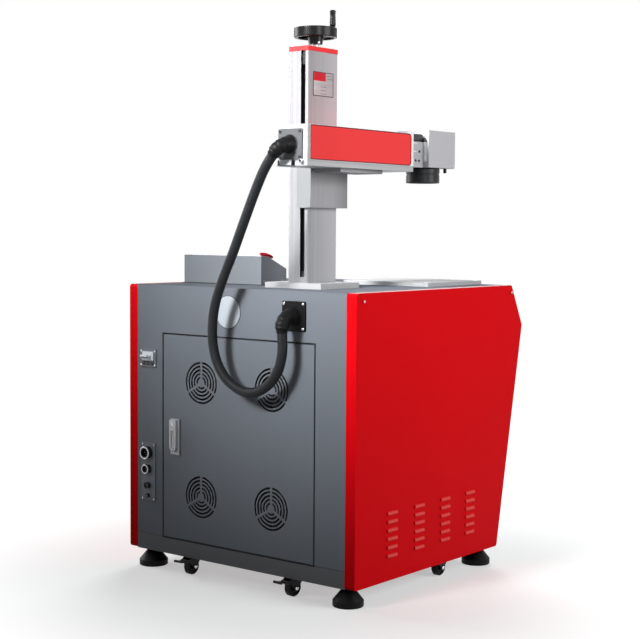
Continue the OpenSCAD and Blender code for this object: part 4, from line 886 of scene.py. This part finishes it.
def add_handwheel_fittings():
    """The screw's end nut, the hub's set screws, and the knob's end pin."""
    low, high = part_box("lead_screw")
    middle = (low + high) / 2
    add_turned("screw_end", [Vector((middle.x, middle.y, high.z - 0.2 * MM))], UP,
               [(0, 3.4), (4.5, 3.4), (5, 2.9), (5, 2), (10.5, 2), (11, 1.5), (11, 0), (0, 0)],
               "steel", "handwheel")
    hub_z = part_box("handwheel")[0].z
    for turn in (155, 275):
        angle = radians(turn)
        out = Vector((cos(angle), sin(angle), -0.1))
        place = Vector((middle.x, middle.y, hub_z + 6 * MM)) + out * 18.4 * MM
        add_screws(f"hub_screw_{turn}", [place], out, 7, "steel", "handwheel", 0.4)
    low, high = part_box("crank_knob")
    middle = (low + high) / 2
    add_turned("knob_pin", [Vector((middle.x, middle.y, high.z - 0.1 * MM))], UP,
               [(0, 0.9), (2.4, 0.9), (2.9, 0.4), (2.9, 0), (0, 0)], "steel", "crank_knob")


def add_arm_fittings():
    """Sockets under the gland plate, screws of the coupling block and head, and the pointer's sleeve."""
    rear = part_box("arm_cover")[1].y / MM + ARM_END_T
    x, z = ARM_SOCKET
    add_block("arm_socket", [at(x, rear + 3.5, z)], (40, 8, 14), "breaker_white", "carriage", 1.6)
    add_block("arm_socket_ends", [at(x + reach, rear + 3, z) for reach in (22.5, -22.5)], (6, 7, 13),
              "rubber_black", "carriage", 1.2)
    x, z = ARM_CONNECTOR
    add_turned("arm_connector", [at(x, rear, z)], BACKWARDS, ring(3.4, 5.6, 9), "chrome", "carriage")
    add_turned("arm_connector_plug", [at(x, rear, z)], BACKWARDS,
               [(0, 6), (3.4, 6), (3.4, 0), (0, 0)], "rubber_black", "carriage")
    add_screws("block_screws", [at(BLOCK_SIDE, y, z) for y, z in ((-114, 1137), (-98, 1137), (-115, 1162))],
               LEFTWARDS, 7, "black_plastic", "carriage", 0.2)
    add_block("block_slots", [at(BLOCK_SIDE, -97, z) for z in (1184, 1162)], (1.2, 20, 3.2),
              "breaker_white", "carriage", 0.5)
    low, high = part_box("scan_head")
    inset = 7 * MM
    levels = (high.z - inset, HEAD_FLOOR + inset)
    for name, out, xs, ys in (
            ("head_side_screws", LEFTWARDS, [low.x], (low.y + inset, high.y - inset)),
            ("head_far_screws", -LEFTWARDS, [high.x], (low.y + inset, high.y - inset)),
            ("head_front_screws", -BACKWARDS, (low.x + inset, high.x - inset), [low.y])):
        places = [Vector((x, y, z)) for x in xs for y in ys for z in levels]
        add_screws(name, places, out, 4.6, "steel", "carriage", 0.25)
    add_turned("pointer_sleeve", [at(POINTER_X, POINTER_Y, low.z / MM - 1.2)], UP,
               [(0, 0), (3.4, 0), (4.7, 1.2), (4.7, 12.4), (0, 12.4)], "black_plastic", "carriage")


CORNER_STEPS = 6


def rounded_outline(low, high, radii):
    """Points round a rectangle; radii go round from the low corner."""
    centres = ((low[0], low[1], 1, 1, 180), (high[0], low[1], -1, 1, 270),
               (high[0], high[1], -1, -1, 0), (low[0], high[1], 1, -1, 90))
    points = []
    for (x, y, across, upward, start), radius in zip(centres, radii):
        for step in range(CORNER_STEPS + 1):
            angle = radians(start + 90 * step / CORNER_STEPS)
            points.append((x + across * radius + radius * cos(angle),
                           y + upward * radius + radius * sin(angle)))
    return points


def grown_outline(low, high, by, radius):
    """Points round a rectangle that is grown by an amount on each side, with equal corners."""
    return rounded_outline([c - by for c in low], [c + by for c in high], [radius] * 4)


def add_rim(name, outer, inner, thick, place, finish, body):
    """A flat closed rim between two outlines; place puts (across, up, out) into the scene."""
    form = bmesh.new()
    loops = [[form.verts.new(place(u, v, out)) for u, v in points]
             for points, out in ((outer, 0), (outer, thick), (inner, thick), (inner, 0))]
    for below, above in zip(loops, loops[1:] + loops[:1]):
        join_rings(form, below, above)
    make_piece(name, form, finish, body)


def add_arm_rims():
    """The light edge, and a dark red strip painted as the shadow of the gap round the red side of the arm,
    on both sides.
    """
    low, high = (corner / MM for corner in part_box("arm_cover"))
    front = low.y - NOSE_T / MM
    # A dark strip as the painted shadow of the gap between cover and frame.
    gap_shadow = rounded_outline((low.y + 4, low.z + 0.8), (high.y - 0.8, high.z - 0.8), (11, 2, 2, 11))
    red = rounded_outline((low.y + 6.4, low.z + 3.2), (high.y - 3.2, high.z - 3.2), (9, 1, 1, 9))
    edge = rounded_outline((front + 0.1, low.z), (high.y, high.z), (2, 0.2, 0.2, 2))
    for s, name, face in ((-1, "left", low.x), (1, "right", high.x)):
        def place(u, v, out, s=s, face=face):
            return at(face + s * (out - 0.2), u, v)

        add_rim(f"arm_edge_{name}", edge, gap_shadow, 1.0, place, "edge_silver", "carriage")
        add_rim(f"arm_gap_shadow_{name}", gap_shadow, red, 0.6, place, "gap_shadow_red", "carriage")


def on_slope(control):
    """A control's place on the console's slope, the way out of it, and the way down along it."""
    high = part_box("console_housing")[1]
    tilt = atan2(CONSOLE_FALL, CONSOLE_RUN)
    out = Vector((0, -sin(tilt), cos(tilt)))
    down = Vector((0, -cos(tilt), -sin(tilt)))
    x, reach = CONTROLS[control][:2]
    return Vector((x * MM, high.y - CONSOLE_FLAT * MM, high.z)) + down * reach * MM, out, down


def add_console_fittings():
    """The gasket under the console, its screws, and the bezels of its controls."""
    low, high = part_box("console_housing")
    middle = (low + high) / 2
    size = (high - low) / MM
    add_block("console_gasket", [Vector((middle.x, middle.y, low.z + 0.9 * MM))],
              (size.x + 1.2, size.y + 1.2, 1.8), "rubber_black", "cabinet", 0.5)
    for name, x, out in (("console_side_screws", low.x, LEFTWARDS),
                         ("console_far_screws", high.x, -LEFTWARDS)):
        places = [Vector((x, high.y - ahead * MM, low.z + rise * MM)) for ahead, rise in CONSOLE_SCREWS]
        add_screws(name, places, out, 5, "steel", "cabinet", 0.3)
    for control, (_, _, bore, name, radius, finish) in CONTROLS.items():
        place, out, _ = on_slope(control)
        add_turned(name, [place], out, ring(bore, radius, 2.2), finish, "cabinet")


def add_key():
    """The key switch: a turned barrel with the key standing in it."""
    place, out, down = on_slope("key_switch")
    form = bmesh.new()
    barrel = ((0, 3.6), (6.2, 3.6), (6.4, 4.5), (8.7, 4.5), (9.5, 3.7), (9.5, -22), (0, -22))
    turn_form(form, [(r * MM, h * MM) for r, h in barrel], frame_at(place, out), 40)
    upright = Matrix((Vector((1, 0, 0)), -down, out)).transposed().to_4x4()
    for size, rise, bevel in (((2, 8, 6), 6, 0.4), ((2.4, 15, 7.5), 10.5, 1.0)):
        block_form(form, Vector(size) * MM, Matrix.Translation(place + out * rise * MM) @ upright,
                   bevel * MM)
    key = make_piece("key_and_barrel", form, "steel", "key_switch")
    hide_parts("key_switch")


def add_door_gap_shadows():
    """The rubber edging round both doors on the panel beside their gap, a black strip as the painted shadow
    of the gap.
    """
    for node, out in (("rear_door", BACKWARDS), ("front_door", FRONT_FACE)):
        rise = rise_along(out)
        face, low, high = flat_part(node, out, LOCK_PLATE_T)

        def place(u, v, thick, out=out, rise=rise, face=face):
            return Vector((u * MM, 0, 0)) + rise * v * MM + out * (face + (thick - 0.3) * MM)

        low, high = [c / MM for c in low], [c / MM for c in high]
        outer, inner = [grown_outline(low, high, by, 1) for by in (4.4, DOOR_GAP - 0.3)]
        # A black strip round each door as the painted shadow of its gap.
        add_rim(f"{node}_gap_shadow_trim", outer, inner, 0.9, place, "rubber_black", "cabinet")


def add_door_fittings():
    """The lock cylinders in both swing handles."""
    for node, out in (("rear_handle", BACKWARDS), ("front_handle", FRONT_FACE)):
        low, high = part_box(node)
        face = high.y if out.y > 0 else low.y
        place = Vector(((low.x + high.x) / 2, face, high.z)) - rise_along(out) * 12 * MM
        add_turned(f"{node}_lock", [place], out,
                   [(0, 1.3), (3.4, 1.3), (3.4, 1.0), (4.6, 1.0), (5, 0.6), (5, 0), (0, 0)], "steel", node)


def add_wheel_fittings():
    """The lock nut and thread of each foot, and the axle caps of each caster."""
    for i in (1, 2, 3, 4):
        low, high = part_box(f"foot_{i}")
        middle = (low + high) / 2
        at_cone = Vector((middle.x, middle.y, FOOT_CONE_H * MM))
        add_turned(f"foot_nut_{i}", [at_cone], UP,
                   [(6.05, 0), (10.4, 0), (11, 0.8), (11, 7.2), (10.4, 8), (6.05, 8), (6.05, 0)],
                   "steel", f"foot_{i}", (1, 2, 3, 4), 48)
        profile = [(5.9, 8)]
        for turn in range(11):
            profile += [(6.35, 8.4 + turn * 1.6), (5.95, 9.2 + turn * 1.6)]
        profile += [(5.9, 26), (5.9, 8)]
        add_turned(f"foot_thread_{i}", [at_cone], UP, profile, "steel", f"foot_{i}")
        wheel_low, wheel_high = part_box(f"caster_wheel_{i}")
        axle = (wheel_low + wheel_high) / 2
        across = Vector(CASTER_AXLES[i - 1])
        for side, name in ((1, "left"), (-1, "right")):
            place = axle + across * side * AXLE_REACH * MM
            add_turned(f"axle_cap_{i}_{name}", [place], across * side,
                       [(0, 3.4), (2.6, 3.2), (4.6, 2.2), (5.4, 0.8), (5.4, 0), (0, 0)],
                       "chrome", f"caster_{i}", steps=24)


def add_deck_fittings():
    """Flat screws in the work table's corners."""
    low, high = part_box("work_table")
    add_screws("table_screws", four_corners(low, high, 14, high.z - 0.4 * MM), UP, 9, "steel",
               "cabinet", 0.12)


def add_lamp(name, place, target, power, **settings):
    """A square lamp, or a soft spot where settings give its cone."""
    data = bpy.data.lights.new(name, "SPOT" if "spot_size" in settings else "AREA")
    data.energy = power
    for setting, value in settings.items():
        setattr(data, setting, value)
    light = add_object(name, data)
    light.location = place
    light.rotation_euler = (Vector(target) - Vector(place)).to_track_quat("-Z", "Y").to_euler()


# Light from all round on surfaces; the backdrop itself is white
WORLD_LIGHT = 0.03
# Spots: place, target, cone in degrees and watts
SPOTS = {
    "rear_spot": ((0.3, 3.0, 2.4), (-0.25, 0.35, 1.2), 24, 850),
    "upper_spot": ((0.3, 3.0, 2.8), (-0.15, 0.35, 1.4), 30, 930),
    "rear_fill": ((0.3, 3.0, 2.8), (-0.15, 0.35, 1.4), 44, 45),
    "left_fill": ((-2.8, 1.8, 2.0), (-0.2, 0.0, 1.2), 34, 146),
}
# Square lamps: place, target, watts and width
LAMPS = {
    "side_lamp": ((-3.2, -0.5, 1.5), (-0.4, 0, 0.6), 57, 1.6),
    "front_lamp": ((1.9, -2.8, 2.2), (0, 0, 0.7), 85, 2.0),
    "right_lamp": ((3.2, 0.6, 1.7), (0, 0, 0.6), 45, 1.6),
}


def light_scene():
    """Soft studio lamps, and a plain level of light from all round."""
    for name, (place, target, angle, power) in SPOTS.items():
        add_lamp(name, place, target, power, spot_size=radians(angle), spot_blend=1.0,
                 shadow_soft_size=0.6)
    for name, (place, target, power, width) in LAMPS.items():
        add_lamp(name, place, target, power, size=width)
    sky = Backdrop()
    sky.put(sky.shader.inputs["Strength"],
            sky.node("ShaderNodeMapRange", {}, {"Value": sky.seen(), "To Min": WORLD_LIGHT, "To Max": 1}))


# Floor: its radius, where it starts and ends to fade to white, and its colours under light
FLOOR_R = 14
FADE_FROM, FADE_TO = 0.5, 1.25
FLOOR_SEEN, FLOOR_GLOW, FLOOR_BOUNCE = (0.65, 0.7, 0.7, 1), (0.462, 0.45, 0.45, 1), (0.16, 0.16, 0.16, 1)


def add_floor():
    """A wide pale floor that keeps the machine's shadow and fades into the backdrop."""
    surface = Finish("floor_paint", Roughness=0.9, Specular_IOR_Level=0.0)
    x, y = surface.along(0), surface.along(1)
    far = surface.smooth(surface.maths("SQRT", x * x + y * y), FADE_FROM, FADE_TO)
    seen = surface.seen()
    surface.colour(surface.mix(seen * (1 - far), FLOOR_BOUNCE, FLOOR_SEEN))
    surface.put(surface.shader.inputs["Emission Color"],
                surface.mix(seen, NO_LIGHT, surface.mix(far, FLOOR_GLOW, WHITE)))
    surface.put(surface.shader.inputs["Emission Strength"], 1.0)
    form = bmesh.new()
    bmesh.ops.create_circle(form, cap_ends=True, segments=96, radius=FLOOR_R)
    mesh = bpy.data.meshes.new("studio_floor")
    form.to_mesh(mesh)
    form.free()
    mesh.materials.append(surface.material)
    add_object("studio_floor", mesh)


add_camera()
finishes = make_finishes()
hose_path = add_hose()
finish_nodes()
add_hose_collars(hose_path)
for add_pieces in (add_elbow_sleeves, add_gland_screws, add_rear_fittings, add_side_screws,
                   add_column_fittings, add_handwheel_fittings, add_arm_fittings, add_arm_rims,
                   add_console_fittings, add_key, add_door_gap_shadows, add_door_fittings,
                   add_wheel_fittings, add_deck_fittings):
    add_pieces()
add_floor()
light_scene()
bpy.context.scene.view_settings.view_transform = "Standard"
